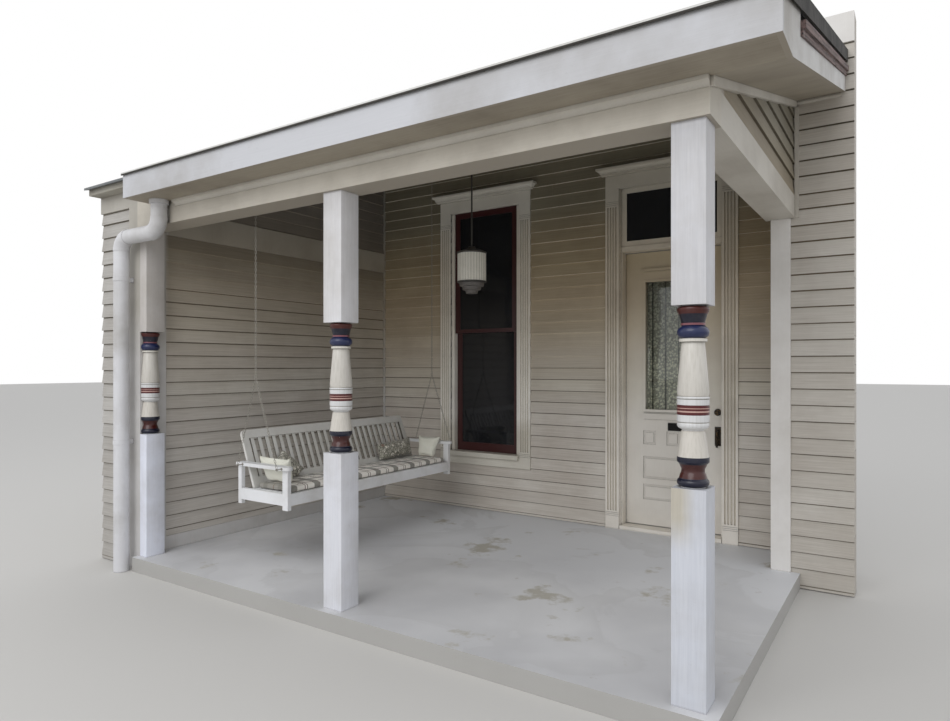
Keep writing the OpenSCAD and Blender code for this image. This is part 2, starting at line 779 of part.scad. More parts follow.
// Deadbolt, thumb handle, inner knob, mail slot, curtain rod and the middle knuckles
module door_hardware() {
    grip_y = leaf_y - grip_out;
    slot_x = -door_x - 40;
    color("#8a6a35") {
        translate([lock_x, leaf_y, bolt_z]) rotate([90, 0, 0]) cylinder(r = 27, h = 16);
        translate([lock_x, leaf_y - 16, bolt_z]) rotate([90, 0, 0]) cylinder(r = 17, h = 12);
        box([lock_x - 24, leaf_y - 6, plate_z], [lock_x + 24, leaf_y, plate_z + plate_h]);
        translate([lock_x, leaf_y - 6, grip_top]) rotate([90, 0, 0]) cylinder(r = 9, h = grip_out + 2);
        translate([lock_x, grip_y, plate_z - 10]) cylinder(r = 8, h = grip_top + 8 - plate_z);
        translate([lock_x, leaf_y - 6, plate_z + 15]) rotate([90, 0, 0]) cylinder(r = 7, h = grip_out - 6);
        translate([lock_x, back_y, grip_top]) rotate([-90, 0, 0]) cylinder(r = 26, h = 8);
        translate([lock_x, back_y + 8, grip_top]) rotate([-90, 0, 0]) cylinder(r = 10, h = 34);
        translate([lock_x, back_y + 60, grip_top]) rotate([90, 0, 0]) rotate_extrude() polygon([[0, -14],
            [16, -12], [25, -4], [27, 3], [23, 12], [10, 20], [0, 20]]);
    }
    color("#1c1a18") difference() {
        box([slot_x, leaf_y - 8, slot_z], [slot_x + slot_w, leaf_y, slot_z + slot_h]);
        box([slot_x + 20, leaf_y - 8 - sliver, slot_z + 16],
            [slot_x + slot_w - 20, leaf_y - 5, slot_z + slot_h - 16]);
    }
    color("#b8923c") {
        translate([-door_x - rod_half, rod_y, rod_z]) rotate([0, 90, 0]) cylinder(r = rod_r, h = 2 * rod_half);
        for (s = [-1, 1]) translate([-door_x + s * (rod_half - 8), back_y, rod_z])
            rotate([-90, 0, 0]) cylinder(r = 7, h = rod_y + 7 - back_y);
    }
    color("#8a7a5a") for (z = hinge_z) {
        translate([hinge_x, hinge_y, z + hinge_h / 3]) cylinder(r = knuckle_r, h = hinge_h / 3 - 1);
        box([hinge_x, back_y, z + hinge_h / 3],
            [hinge_x + 34, back_y + 2.5, z + hinge_h * 2 / 3 - 1]);
    }
}

// The outer knuckles stay on the frame, the middle one turns with the door
module door_hinges() {
    color("#8a7a5a") for (z = hinge_z, k = [0, 2]) {
        translate([hinge_x, hinge_y, z + k * hinge_h / 3]) cylinder(r = knuckle_r, h = hinge_h / 3 - 1);
        box([hinge_x - 32, back_y, z + k * hinge_h / 3],
            [hinge_x, back_y + 2.5, z + (k + 1) * hinge_h / 3 - 1]);
    }
}

// WINDOW

module window_casing() {
    color("#c4bcb0") {
        casing_leg(-window_x - window_half - casing_w, floor_z + sill_z - sill_t - apron_h, head_z);
        casing_leg(-window_x + window_half, floor_z + sill_z - sill_t - apron_h, head_z);
        casing_head(-window_x - window_half - casing_w, -window_x + window_half + casing_w, head_z);
    }
}

// The frame with its sill and the apron board under it
module window_frame_boards() {
    color("#cfc8bc") {
        for (s = [-1, 1])
            box([-window_x + (s < 0 ? -window_half : sash_w / 2 + sash_gap), porch_d, floor_z + sill_z],
            [-window_x + (s < 0 ? -sash_w / 2 - sash_gap : window_half), back_y, window_top]);
        box([-window_x - sash_w / 2 - sash_gap, porch_d, window_top - frame_t],
            [-window_x + sash_w / 2 + sash_gap, back_y, window_top]);
        box([-window_x - window_half, porch_d - casing_t - 34, floor_z + sill_z - sill_t],
            [-window_x + window_half, back_y, floor_z + sill_z]);
        box([-window_x - window_half, porch_d - casing_t, floor_z + sill_z - sill_t - apron_h],
            [-window_x + window_half, porch_d, floor_z + sill_z - sill_t]);
    }
}

module window_sashes() {
    color("#5d1f22") {
        sash(-window_x - sash_w / 2, -window_x + sash_w / 2, upper_y,
            floor_z + meeting_z - meet_h / 2, window_top - frame_t, stile_w, meet_h, stile_w);
        sash(-window_x - sash_w / 2, -window_x + sash_w / 2, lower_y,
            floor_z + sill_z, floor_z + meeting_z + meet_h / 2, stile_w, low_rail, meet_h);
    }
}

// The panes of the window and over the door
module window_glass() {
    color("#20242a") {
        sash_pane(door_left + frame_t, door_right - frame_t, transom_y,
            transom_z + transom_bar, door_top - frame_t, transom_rail, transom_rail, transom_rail);
        sash_pane(-window_x - sash_w / 2, -window_x + sash_w / 2, upper_y,
            floor_z + meeting_z - meet_h / 2, window_top - frame_t, stile_w, meet_h, stile_w);
        sash_pane(-window_x - sash_w / 2, -window_x + sash_w / 2, lower_y,
            floor_z + sill_z, floor_z + meeting_z + meet_h / 2, stile_w, low_rail, meet_h);
    }
}

// LANTERN

module above_ceiling() {
    along_x(left_x, 0) polygon([[0, under(0)], [porch_d, under(porch_d)],
        [porch_d, wing_top + 500], [0, wing_top + 500]]);
}

// The lantern's canopy, stem, cap and stepped foot
module lantern_metal() {
    color("#4a4744") {
        difference() {
            translate([-lantern_x, lantern_y, floor_z + shade_z + shade_h]) {
                cylinder(r = 6, h = under(lantern_y) + 30 - floor_z - shade_z - shade_h);
                translate([0, 0, under(lantern_y) - 40 - floor_z - shade_z - shade_h]) cylinder(r = 50, h = 80);
                rotate_extrude() polygon([[0, 0], [shade_r + 4, 0], [shade_r + 4, 12], [70, 28],
                    [30, 36], [24, 55], [0, 55]]);
            }
            above_ceiling();
        }
        translate([-lantern_x, lantern_y, floor_z + shade_z]) rotate_extrude()
            polygon([[0, 0], [shade_r + 2, 0], [shade_r + 2, -8], [shade_r * 0.86, -10],
                [shade_r * 0.84, -34], [shade_r * 0.66, -40], [shade_r * 0.63, -62],
                [shade_r * 0.44, -68], [shade_r * 0.4, -88], [0, -92]]);
    }
}

module lantern_shade() {
    color("#e9e6da") translate([-lantern_x, lantern_y, floor_z + shade_z]) difference() {
        cylinder(r = shade_r, h = shade_h);
        translate([0, 0, -sliver]) cylinder(r = shade_r - 4, h = shade_h + 2 * sliver);
    }
}

// DOWNSPOUT

// A bend of the pipe: it starts straight down and turns towards the left wing
module bend() {
    rotate([-90, 0, 0]) rotate_extrude(angle = spout_turn) translate([spout_bend, 0])
        circle(r = spout_r + 2);
}

module downspout() {
    low_z = soffit_z - spout_top - 2 * spout_bend;
    color("#d9d8d6") {
        translate([-outlet_x, spout_y, soffit_z - spout_top]) {
            cylinder(r = spout_r, h = spout_top + ceiling_t);
            translate([-spout_bend, 0, 0]) bend();
            translate([-spout_bend, 0, -spout_bend]) rotate([0, -90, 0]) cylinder(r = spout_r, h = spout_run);
        }
        translate([-outlet_x, spout_y, soffit_z - 26]) cylinder(r = collar_r, h = 26);
        translate([-pipe_x, spout_y, low_z]) {
            translate([spout_bend, 0, 0]) rotate([0, 180, 0]) bend();
            translate([0, 0, -low_z]) cylinder(r = spout_r, h = low_z);
        }
    }
    color("#cfcecc") for (z = [0.35, 0.8] * soffit_z) {
        translate([-pipe_x, spout_y, z]) cylinder(r = spout_r + 3, h = 30);
        box([-pipe_x - 14, spout_y, z], [-pipe_x + 14, wall_front - board_t, z + 30]);
    }
}

// SWING

// The seat: rails and cross bearers under boards laid along the bench
module swing_seat() {
    color("#d8d8d4") {
        for (y = [bench_y0 + arm_over, bench_y1 - arm_over - leg_t])
            box([bench_x0 + rear_leg_w, y, seat_top - rail_h], [leg_x, y + leg_t, seat_top]);
        box([front_x, bench_y0 + arm_over + leg_t, seat_top - rail_h],
            [front_x + plank + 15, bench_y1 - arm_over - leg_t, seat_top]);
        box([bench_x0 + rear_leg_w, bench_y0 + arm_over + leg_t, seat_top - rail_h],
            [bench_x0 + rear_leg_w + plank, bench_y1 - arm_over - leg_t, seat_top - plank]);
        for (t = [1, 2]) let (y = bench_y0 + bench_l * t / 3 - plank / 2)
            box([bench_x0 + rear_leg_w + plank, y, seat_top - rail_h],
                [front_x, y + plank, seat_top - plank]);
        for (i = [0:seat_board_n - 1]) let (x0 = back_x + plank / cos(back_lean) + rest_gap,
            pitch = (front_x - x0) / seat_board_n)
            box([x0 + i * pitch, bench_y0 + arm_over + leg_t, seat_top - plank],
                [x0 + (i + 1) * pitch - 8, bench_y1 - arm_over - leg_t, seat_top]);
    }
}

// The back: two stiles, a top and a bottom rail, and upright slats let into them
module swing_back() {
    stile_y = arm_w + rest_gap;
    slat_room = bench_l - 2 * (stile_y + back_stile);
    color("#d8d8d4") translate([back_x, 0, seat_top - plank]) rotate([0, -back_lean, 0]) {
        for (s = [0, 1]) {
            y = s == 0 ? bench_y0 + stile_y : bench_y1 - stile_y - back_stile;
            corner_y = s == 0 ? y + back_corner : y + back_stile - back_corner;
            difference() {
                box([0, y, -back_foot], [plank, y + back_stile, back_h]);
                difference() {
                    box([-1, min(corner_y, corner_y + (s - 0.5) * 3 * back_corner), back_h - back_corner],
                        [plank + 1, max(corner_y, corner_y + (s - 0.5) * 3 * back_corner), back_h + 1]);
                    translate([-2, corner_y, back_h - back_corner]) rotate([0, 90, 0])
                        cylinder(r = back_corner, h = plank + 4, $fn = 60);
                }
            }
        }
        for (z = [[back_low, back_low + back_rail], [back_h - back_rail, back_h]])
            box([0, bench_y0 + stile_y + back_stile, z[0]],
                [plank, bench_y1 - stile_y - back_stile, z[1]]);
        for (i = [0:slat_n - 1]) let (y = bench_y0 + stile_y + back_stile + slat_room * (i + 0.5) / slat_n)
            box([plank * 0.25, y - slat_w / 2, back_low + back_rail],
                [plank * 0.75, y + slat_w / 2, back_h - back_rail]);
    }
}

// Arms with rounded front corners, each on a front and a rear leg
module swing_arms() {
    arm_x = leg_x + leg_w + arm_over - arm_corner;
    color("#dcdcd8") for (s = [0, 1]) {
        y_arm = s == 0 ? bench_y0 : bench_y1 - arm_w;
        y_leg = s == 0 ? bench_y0 + arm_over : bench_y1 - arm_over - leg_t;
        translate([0, 0, arm_top - arm_t]) linear_extrude(arm_t)
            polygon(concat([[bench_x0, y_arm]],
                arc(arm_x, y_arm + arm_corner, arm_corner, -90, 0, 8),
                arc(arm_x, y_arm + arm_w - arm_corner, arm_corner, 0, 90, 8),
                [[bench_x0, y_arm + arm_w]]));
        box([leg_x, y_leg, seat_top - rail_h - leg_drop],
            [leg_x + leg_w, y_leg + leg_t, arm_top - arm_t]);
        box([bench_x0, y_leg, seat_top - rail_h - leg_drop],
            [bench_x0 + rear_leg_w, y_leg + leg_t, arm_top - arm_t]);
    }
}

function hook_z(y) = under(y) - hook_drop;

// Hangers screwed to the ceiling: the swing turns about the pin between each one's cheeks
module swing_hooks() {
    top = hook_drop * cos(roof_lean) - nail_gap;
    color("#77756f") for (y = chain_y) translate([chain_x, y, hook_z(y)]) rotate([roof_lean, 0, 0]) {
        rotate([90, 0, 0]) cylinder(r = wire_r, h = 2 * (eye_r + cheek_t), center = true);
        for (s = [-1, 1]) box([-8, s * eye_r - (s < 0 ? cheek_t : 0), -8],
            [8, s * eye_r + (s > 0 ? cheek_t : 0), top - cheek_t]);
        box([-eye_r - plank, -eye_r - cheek_t, top - cheek_t], [eye_r + plank, eye_r + cheek_t, top]);
    }
}

module strand(from, to) {
    d = to - from;
    len = norm(d);
    translate(from) rotate([0, acos(d[2] / len), atan2(d[1], d[0])]) cylinder(r = chain_t / 2, h = len);
}

// Each chain hangs from its eye by a ring, divides at a joint, and holds the arm by two bolts
module swing_chain(s) {
    y = chain_y[s];
    top = hook_z(y);
    fork = floor_z + fork_z;
    bolt_z = arm_top - arm_t / 2;
    arm_side = s == 0 ? bench_y0 : bench_y1;
    link_r = 2 * wire_r + link_play;
    translate([chain_x, y, top]) rotate([90 + roof_lean, 0, 0]) rotate_extrude($fn = 24)
        translate([link_r, 0]) circle(r = wire_r, $fn = 16);
    translate([chain_x, y, top - link_r - knot_r]) sphere(r = knot_r);
    translate([chain_x, y, fork]) cylinder(r = chain_t / 2, h = top - link_r - knot_r - fork);
    translate([chain_x, y, fork]) sphere(r = knot_r);
    for (x = bolt_x) {
        strand([chain_x, y, fork], [x, y, bolt_z]);
        translate([x, y, bolt_z]) sphere(r = knot_r);
        translate([x, min(y, arm_side), bolt_z]) rotate([-90, 0, 0])
            cylinder(r = wire_r + 1, h = abs(y - arm_side));
    }
}

module swing_chains() {
    color("#8e8c86") for (s = [0, 1]) swing_chain(s);
}

module seat_cushion() {
    color("#c8c1ad") box([back_x + plank + 8, bench_y0 + arm_over + 48, seat_top + 0.3],
        [front_x + 20, bench_y1 - arm_over - 48, seat_top + cushion_t]);
}

// From a pillow's middle back to the centre of its crown: a side, and the crown's half thickness
function crown_back(side, t) = (pow(side / 2, 2) + pow(pillow_rim, 2) - pow(t, 2)) / (2 * (t - pillow_rim));

// How far a pillow's face stands off its middle, at a place along a side
function puff(side, t, s) = sqrt(pow(crown_back(side, t) + t, 2) - s * s) - crown_back(side, t);

// A stuffed pillow, thin at its rim, that leans back and stands flattened on the seat. foot_w is
// its width below, t its half thickness, turn tips it to one side, up is its centre's height
module pillow(w, foot_w, h, t, lean, turn, up) {
    back_h_r = crown_back(h, t);
    back_w_r = crown_back(w + crown_over, t);
    intersection() {
        rotate([0, -lean, 0]) translate([0, 0, up]) rotate([turn, 0, 0]) intersection() {
            translate([-t, 0, 0]) rotate([90, 0, 90]) linear_extrude(2 * t)
                polygon([[-foot_w / 2, -h / 2], [foot_w / 2, -h / 2], [w / 2, h / 2], [-w / 2, h / 2]]);
            translate([-back_h_r, 0, 0]) rotate([90, 0, 0])
                cylinder(r = back_h_r + t, h = 2 * w, center = true, $fn = 180);
            translate([back_h_r, 0, 0]) rotate([90, 0, 0])
                cylinder(r = back_h_r + t, h = 2 * w, center = true, $fn = 180);
            translate([-back_w_r, 0, 0]) cylinder(r = back_w_r + t, h = 2 * h, center = true, $fn = 180);
            translate([back_w_r, 0, 0]) cylinder(r = back_w_r + t, h = 2 * h, center = true, $fn = 180);
        }
        box([-2 * h, -w, 0], [2 * h, w, 2 * h]);
    }
}

// Where the foot of a pillow goes so that it just leans on the swing's back
function lean_on_back(w, h, t, lean, turn, up) = let (reach = min([for (a = [-1:0.1:1], b = [-1:0.1:1])
    let (u = -min(puff(w + crown_over, t, a * w / 2), puff(h, t, b * h / 2)),
        r = up + b * h / 2 * cos(turn) + a * w / 2 * sin(turn))
    (u * cos(lean) - r * sin(lean)) * cos(back_lean) + (r * cos(lean) + u * sin(lean)) * sin(back_lean)]))
    back_x + (plank + rest_gap - reach - (pillow_z - seat_top + plank) * sin(back_lean)) / cos(back_lean);

// The foot of a pillow that leans on the top edge of an arm
function lean_on_arm() = arm_w
    + ((arm_top - pillow_z) * sin(plain_lean) + plain_t + rest_gap) / cos(plain_lean);

// Two flowered pillows on the back: a small one tipped on its corner, and a long one
module floral_pillows() {
    color("#a39c84") {
        translate([lean_on_back(tipped_w, tipped_w, tipped_t, tipped_lean, tipped_turn, tipped_up),
            bench_y0 + tipped_y, pillow_z])
            pillow(tipped_w, tipped_w, tipped_w, tipped_t, tipped_lean, tipped_turn, tipped_up);
        translate([lean_on_back(long_w, long_h, long_t, long_lean, long_turn, long_h / 2 - pillow_slump),
            bench_y1 - long_y, pillow_z])
            pillow(long_w, long_w, long_h, long_t, long_lean, long_turn, long_h / 2 - pillow_slump);
    }
}

// Two plain pillows on the arms, pinched below
module plain_pillows() {
    color("#cdc8b8") {
        translate([chain_x + near_plain_x, bench_y0 + lean_on_arm(), pillow_z]) rotate([0, 0, 90])
            pillow(near_plain_w, near_plain_foot, plain_h, plain_t, plain_lean, 0, plain_h / 2 - pillow_slump);
        translate([chain_x + far_plain_x, bench_y1 - lean_on_arm(), pillow_z]) rotate([0, 0, -90])
            pillow(far_plain_w, far_plain_foot, plain_h, plain_t, plain_lean, 0, plain_h / 2 - pillow_slump);
    }
}

floor_slab();
corner_post();
middle_post();
half_post();
front_beam();
side_beam();
soffit_mouldings();
front_fascia();
soffit();
rake_board();
rake_moulding();
gable_wall();
rafters();
roof_deck();
roofing();
ceiling();
porch_wall_left();
porch_wall_right();
porch_wall_over_door();
left_wing_wall();
left_trim_boards();
left_eave();
right_wing_wall();
right_trim_boards();
door_casing();
door_frame();
door_leaf();
door_glass();
lace_curtain();
door_hardware();
door_hinges();
window_casing();
window_frame_boards();
window_sashes();
window_glass();
lantern_metal();
lantern_shade();
downspout();
swing_seat();
swing_back();
swing_arms();
swing_hooks();
swing_chains();
seat_cushion();
floral_pillows();
plain_pillows();
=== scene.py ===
import bpy
import bmesh
import math
import random
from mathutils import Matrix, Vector


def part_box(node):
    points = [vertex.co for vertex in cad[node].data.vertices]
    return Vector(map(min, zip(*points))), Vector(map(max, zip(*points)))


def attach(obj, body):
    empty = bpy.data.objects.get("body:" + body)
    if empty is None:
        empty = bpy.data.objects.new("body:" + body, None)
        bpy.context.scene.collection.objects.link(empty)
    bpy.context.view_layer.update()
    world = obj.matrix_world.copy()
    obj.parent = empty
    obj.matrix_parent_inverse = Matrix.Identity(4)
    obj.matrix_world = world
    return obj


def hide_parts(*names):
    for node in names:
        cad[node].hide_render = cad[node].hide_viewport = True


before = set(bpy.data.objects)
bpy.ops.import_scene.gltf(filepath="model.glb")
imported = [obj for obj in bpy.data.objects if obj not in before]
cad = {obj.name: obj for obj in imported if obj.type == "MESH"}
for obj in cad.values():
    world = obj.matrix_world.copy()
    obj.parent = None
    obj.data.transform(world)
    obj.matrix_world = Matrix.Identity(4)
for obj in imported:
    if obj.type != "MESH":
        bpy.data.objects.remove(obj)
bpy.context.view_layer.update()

# CAMERA, SKY AND GROUND
# A level camera off the right front corner with a wide lens, under a bright overcast sky with
# one broad soft lamp from the front. The ground is a plain pale floor and the page is white.


def placed(name, data):
    """A new object of this data, in the scene."""
    thing = bpy.data.objects.new(name, data)
    bpy.context.scene.collection.objects.link(thing)
    return thing


camera = placed("camera", bpy.data.cameras.new("camera"))
camera.location = (0.7536, -2.7587, 1.4729)
camera.rotation_euler = (math.radians(90), 0, math.radians(33.39))
camera.data.sensor_width = 36
camera.data.lens = 25.27
camera.data.shift_y = 0.0056
bpy.context.scene.camera = camera
bpy.context.scene.view_settings.view_transform = "Standard"


def linear(colour):
    """An sRGB hex as the linear colour that a shader takes. A number is a shade of grey from 0 to
    1, and a socket or a linear colour stays as it is."""
    if isinstance(colour, (int, float)):
        return (colour, colour, colour, 1)
    if not isinstance(colour, str):
        return colour
    parts = [int(colour[i:i + 2], 16) / 255 for i in (0, 2, 4)]
    return [c / 12.92 if c <= 0.04045 else ((c + 0.055) / 1.055) ** 2.4 for c in parts] + [1]


def add(kind, inputs=(), near=None, **settings):
    """One shader node with its settings, its input values and its links, in the tree of its first
    linked input or of near."""
    sockets = [value for value in dict(inputs).values() if isinstance(value, bpy.types.NodeSocket)]
    tree = near.id_data if near else sockets[0].id_data
    node = tree.nodes.new("ShaderNode" + kind)
    for key, value in settings.items():
        setattr(node, key, value)
    for key, value in dict(inputs).items():
        if value in sockets:
            tree.links.new(value, node.inputs[key])
        else:
            node.inputs[key].default_value = value
    return node


def maths(operation, *values):
    """The result of one operation on sockets or numbers."""
    return add("Math", dict(enumerate(values)), operation=operation).outputs[0]


sky = bpy.data.worlds.new("overcast_sky")
bpy.context.scene.world = sky
sky.use_nodes = True
tree = sky.node_tree
tree.nodes.clear()
daylight = add("Background", {"Color": linear("f4f6fa"), "Strength": 0.82}, tree)
page = add("Background", {"Color": linear(1), "Strength": 1.0}, tree)
ray = add("LightPath", near=tree).outputs
seen = maths("MAXIMUM", ray["Is Camera Ray"], ray["Is Transmission Ray"])
seen = maths("MAXIMUM", seen, ray["Is Glossy Ray"])
mixed = add("MixShader", {0: seen, 1: daylight.outputs[0], 2: page.outputs[0]})
add("OutputWorld", {"Surface": mixed.outputs[0]})

lamp = placed("soft_front_lamp", bpy.data.lights.new("soft_front_lamp", "AREA"))
lamp.data.shape = "DISK"
lamp.data.size = 9
lamp.data.energy = 500
lamp.location = (-1.5, -8.6, 8.0)
lamp.rotation_euler = (Vector((-1.6, 1.0, 1.4)) - lamp.location).to_track_quat("-Z", "Y").to_euler()


def new_material(name):
    """A material with a bare principled surface: itself, the surface node and the place."""
    material = bpy.data.materials.new(name)
    material.use_nodes = True
    material.node_tree.nodes.clear()
    surface = add("BsdfPrincipled", near=material.node_tree)
    add("OutputMaterial", {"Surface": surface.outputs[0]})
    return material, surface, add("TexCoord", near=surface).outputs["Object"]


def dress(surface, colour, roughness, relief=(), **values):
    """Gives a surface its colour and roughness, a relief of (height, strength, depth in metres)
    and other values by their names, with _ for a space."""
    links, values["Roughness"] = surface.id_data.links, roughness
    if isinstance(colour, str):
        values["Base_Color"] = linear(colour)
    else:
        links.new(colour, surface.inputs["Base Color"])
    if relief:
        bump = add("Bump", dict(zip(("Height", "Strength", "Distance"), relief)))
        links.new(bump.outputs[0], surface.inputs["Normal"])
    for name, value in values.items():
        surface.inputs[name.replace("_", " ")].default_value = value


ground_mesh = bpy.data.meshes.new("pale_floor")
ground_mesh.from_pydata([(-60, -60, 0), (60, -60, 0), (60, 60, 0), (-60, 60, 0)], [], [(0, 1, 2, 3)])
ground = placed("pale_floor", ground_mesh)
ground.location.z = -0.001
pale, surface, at = new_material("pale_floor_paint")
dress(surface, "cfcdc9", 0.9)
ground.data.materials.append(pale)

# FLOOR SLAB
# A poured concrete floor, trowelled and painted light grey. Feet have worn the paint off in patches down to
# the sandy concrete, and damp has stained it.


def ramp(value, *stops, steps=False):
    """A colour ramp's output over a value. Each stop is (position, colour)."""
    node = add("ValToRGB", {"Fac": value})
    node.color_ramp.interpolation = "CONSTANT" if steps else "LINEAR"
    while len(node.color_ramp.elements) < len(stops):
        node.color_ramp.elements.new(1.0)
    for element, (position, colour) in zip(node.color_ramp.elements, stops):
        element.position = position
        element.color = linear(colour)
    return node.outputs["Color"]


def mix(share, one, other, blend="MIX"):
    """Two colours mixed by a share."""
    return add("MixRGB", {"Fac": share, "Color1": linear(one), "Color2": linear(other)},
               blend_type=blend).outputs[0]


def noise(at, size, detail, roughness=0.5, output="Fac", **more):
    """Cloudy noise whose blotches are about size metres across."""
    inputs = {"Vector": at, "Scale": 1 / size, "Detail": detail, "Roughness": roughness, **more}
    return add("TexNoise", inputs).outputs[output]


def part(vector, axis):
    """One of a vector's three parts."""
    return add("SeparateXYZ", {"Vector": vector}).outputs[axis]


def facing(at, axis):
    """How far a face looks along an axis, from -1 to 1."""
    return part(add("NewGeometry", near=at).outputs["Normal"], axis)


def span(value, start, end, to=1.0):
    """Rises from 0 to the value to as a value goes from start to end."""
    return add("MapRange", {"Value": value, "From Min": start, "From Max": end,
                            "To Max": to}).outputs[0]


def coat(material, *nodes):
    """The CAD solids of these names keep their shapes and take the material."""
    for node in nodes:
        cad[node].data.materials.clear()
        cad[node].data.materials.append(material)


floor_paint, surface, at = new_material("worn_floor_paint_on_concrete")
# the paint wears off in patches 0.3 to 0.6 m across, with a ragged edge of 20 mm
worn = ramp(noise(at, 0.45, 9, 0.62), (0.60, 0), (0.66, 1))
tone = mix(ramp(noise(at, 1.1, 4), (0.38, 0), (0.62, 1)), "c6c6c8", "dededf")
# painted light: under the porch's back half the paint is made paler, to lift the roof's shade
tone = mix(span(part(at, "Y"), 0.9, 2.2), tone, "e8eaee")
# old coats end in crooked edges
coats = noise(at, 0.9, 7, Distortion=0.6)
tone = mix(ramp(coats, (0.50, 0), (0.52, 0.2), (0.64, 0)), tone, "b3b2b1")
grit = noise(at, 0.008, 3)
tone = mix(worn, tone, mix(grit, "aeaaa1", "c6c2b7"))
# small brown rings where leaves lay wet
rings = ramp(noise(at, 0.16, 6, 0.7), (0.66, 0), (0.78, 0.5))
tone = mix(rings, tone, "8a7a62")
# painted shade: its upright faces are darker than its top
tone = mix(span(facing(at, "Z"), 0.6, 0.3, 0.85), tone, "a9a7a2")
dress(surface, tone, 0.55, (grit, 0.25, 0.001))
coat(floor_paint, "floor_slab")

# TURNED POSTS
# Pine posts with square blocks and a turned middle, in white paint, with beads and coves picked
# out in dark blue, red brown and cream. The left one is split and nailed to the corner board.
POST_W = 0.140
FOOT_BLOCK = 0.880
TURNING = 0.738
POST_R = 0.064


def arc(cr, cz, r, start, end, steps=10):
    """Points on a round stretch of the turning, as radius and height."""
    angles = [math.radians(start + (end - start) * i / steps) for i in range(steps + 1)]
    return [(cr + r * math.cos(a), cz + r * math.sin(a)) for a in angles]


def turning_profile(r, h):
    """The turning from its foot up, as (radius, height) points."""
    def shares(*points):
        return [(r * across, h * up) for across, up in points]

    return (shares((0.78, 0.0))
            + arc(r - h * 0.023, h * 0.027, h * 0.023, -80, 60)
            + arc(r * 1.13, h * 0.093, r * 0.41, 215, 145)
            + shares((0.86, 0.128), (1, 0.14), (1, 0.164), (0.97, 0.176), (0.86, 0.24), (0.74, 0.308),
                     (0.66, 0.314))
            + arc(r * 0.72, h * 0.345, r * 0.27, -80, 0)
            + shares((0.98, 0.352), (0.95, 0.358), (1, 0.363), (1, 0.396), (0.975, 0.399), (1, 0.402),
                     (1, 0.449), (0.975, 0.452), (1, 0.455), (1, 0.482), (0.96, 0.485))
            + arc(r * 0.94, h * 0.493, h * 0.007, -60, 60)
            + shares((0.95, 0.505), (1, 0.522), (0.87, 0.65), (0.73, 0.792), (0.71, 0.798), (0.87, 0.8),
                     (0.87, 0.816))
            + arc(r - h * 0.034, h * 0.853, h * 0.034, -75, 75)
            + shares((0.76, 0.89), (0.76, 0.902), (0.73, 0.905), (0.80, 0.93), (0.86, 0.95), (0.97, 0.965))
            + arc(r - h * 0.014, h * 0.979, h * 0.014, -30, 80)
            + shares((0.75, 0.996), (0.7, 1)))


def circle(r, steps):
    """Points on a circle round the origin."""
    turns = [2 * math.pi * i / steps for i in range(steps)]
    return [(r * math.cos(a), r * math.sin(a)) for a in turns]


def skin(mesh, rows, smooth=False):
    """Joins closed rows of points by faces, each row to the next."""
    faces = [mesh.faces.new((a[i - 1], a[i], b[i], b[i - 1])) for a, b in zip(rows, rows[1:])
             for i in [*range(1, len(a)), 0]]
    for face in faces:
        face.smooth = smooth
    return faces


def prism(mesh, near, far):
    """A solid between two like outlines, given as points. Its side faces, in order."""
    near, far = [[mesh.verts.new(point) for point in outline] for outline in (near, far)]
    mesh.faces.new(near[::-1])
    mesh.faces.new(far)
    return skin(mesh, [near, far])


def block(mesh, low, high):
    """A board or block between two corners."""
    (x0, y0, z0), (x1, y1, z1) = low, high
    prism(mesh, *[[(x0, y0, z), (x1, y0, z), (x1, y1, z), (x0, y1, z)] for z in (z0, z1)])


def cut(mesh, point, normal):
    """Cuts off what lies beyond a plane and closes the cut."""
    everything = mesh.verts[:] + mesh.edges[:] + mesh.faces[:]
    bmesh.ops.bisect_plane(mesh, geom=everything, plane_co=point, plane_no=normal, clear_outer=True)
    bmesh.ops.holes_fill(mesh, edges=[e for e in mesh.edges if e.is_boundary])


def piece(name, mesh, material, body, replaces=(), sharp=35, outward=False):
    """Makes the object, gives it its material and body, and keeps edges over 35 degrees sharp. outward turns
    its faces to look out."""
    if outward:
        bmesh.ops.recalc_face_normals(mesh, faces=mesh.faces[:])
    data = bpy.data.meshes.new(name)
    mesh.to_mesh(data)
    mesh.free()
    thing = placed(name, data)
    for m in material if isinstance(material, list) else [material]:
        data.materials.append(m)
    if sharp:
        data.set_sharp_from_angle(angle=math.radians(sharp))
    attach(thing, body)
    if replaces:
        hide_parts(*replaces)
    return thing


# what a yellowed film and painted shade let through of the paint, by height in metres: yellow, and darker
# still under the ceiling
FILM_AND_SHADE = ((1.04, "ffffff"), (1.30, "fcfbf5"), (1.57, "f6f1e7"), (1.83, "ede3cf"), (2.10, "e0d2ba"),
        (2.37, "d1c4a8"), (2.60, "c6bba2"), (2.90, "a8a696"))


def aged_and_shaded(at, tone, strength, film_and_shade=FILM_AND_SHADE):
    """Paint under the porch roof takes a yellowed film and painted shade, the more the nearer it is to the
    ceiling.
    """
    inside = span(part(at, "Y"), 0.12, 0.16, strength)
    share = span(part(at, "Z"), 1.0, 3.0)
    through = ramp(share, *[((z - 1.0) / 2.0, colour) for z, colour in film_and_shade])
    return mix(inside, tone, through, "MULTIPLY")


def grained(at, stretch, detail, roughness):
    """Noise drawn out along the grain; stretch is the blotches' size in metres along x, y and z."""
    marks = add("Mapping", {"Vector": at, "Scale": [1 / size for size in stretch]})
    return noise(marks.outputs[0], 1.0, detail, roughness)


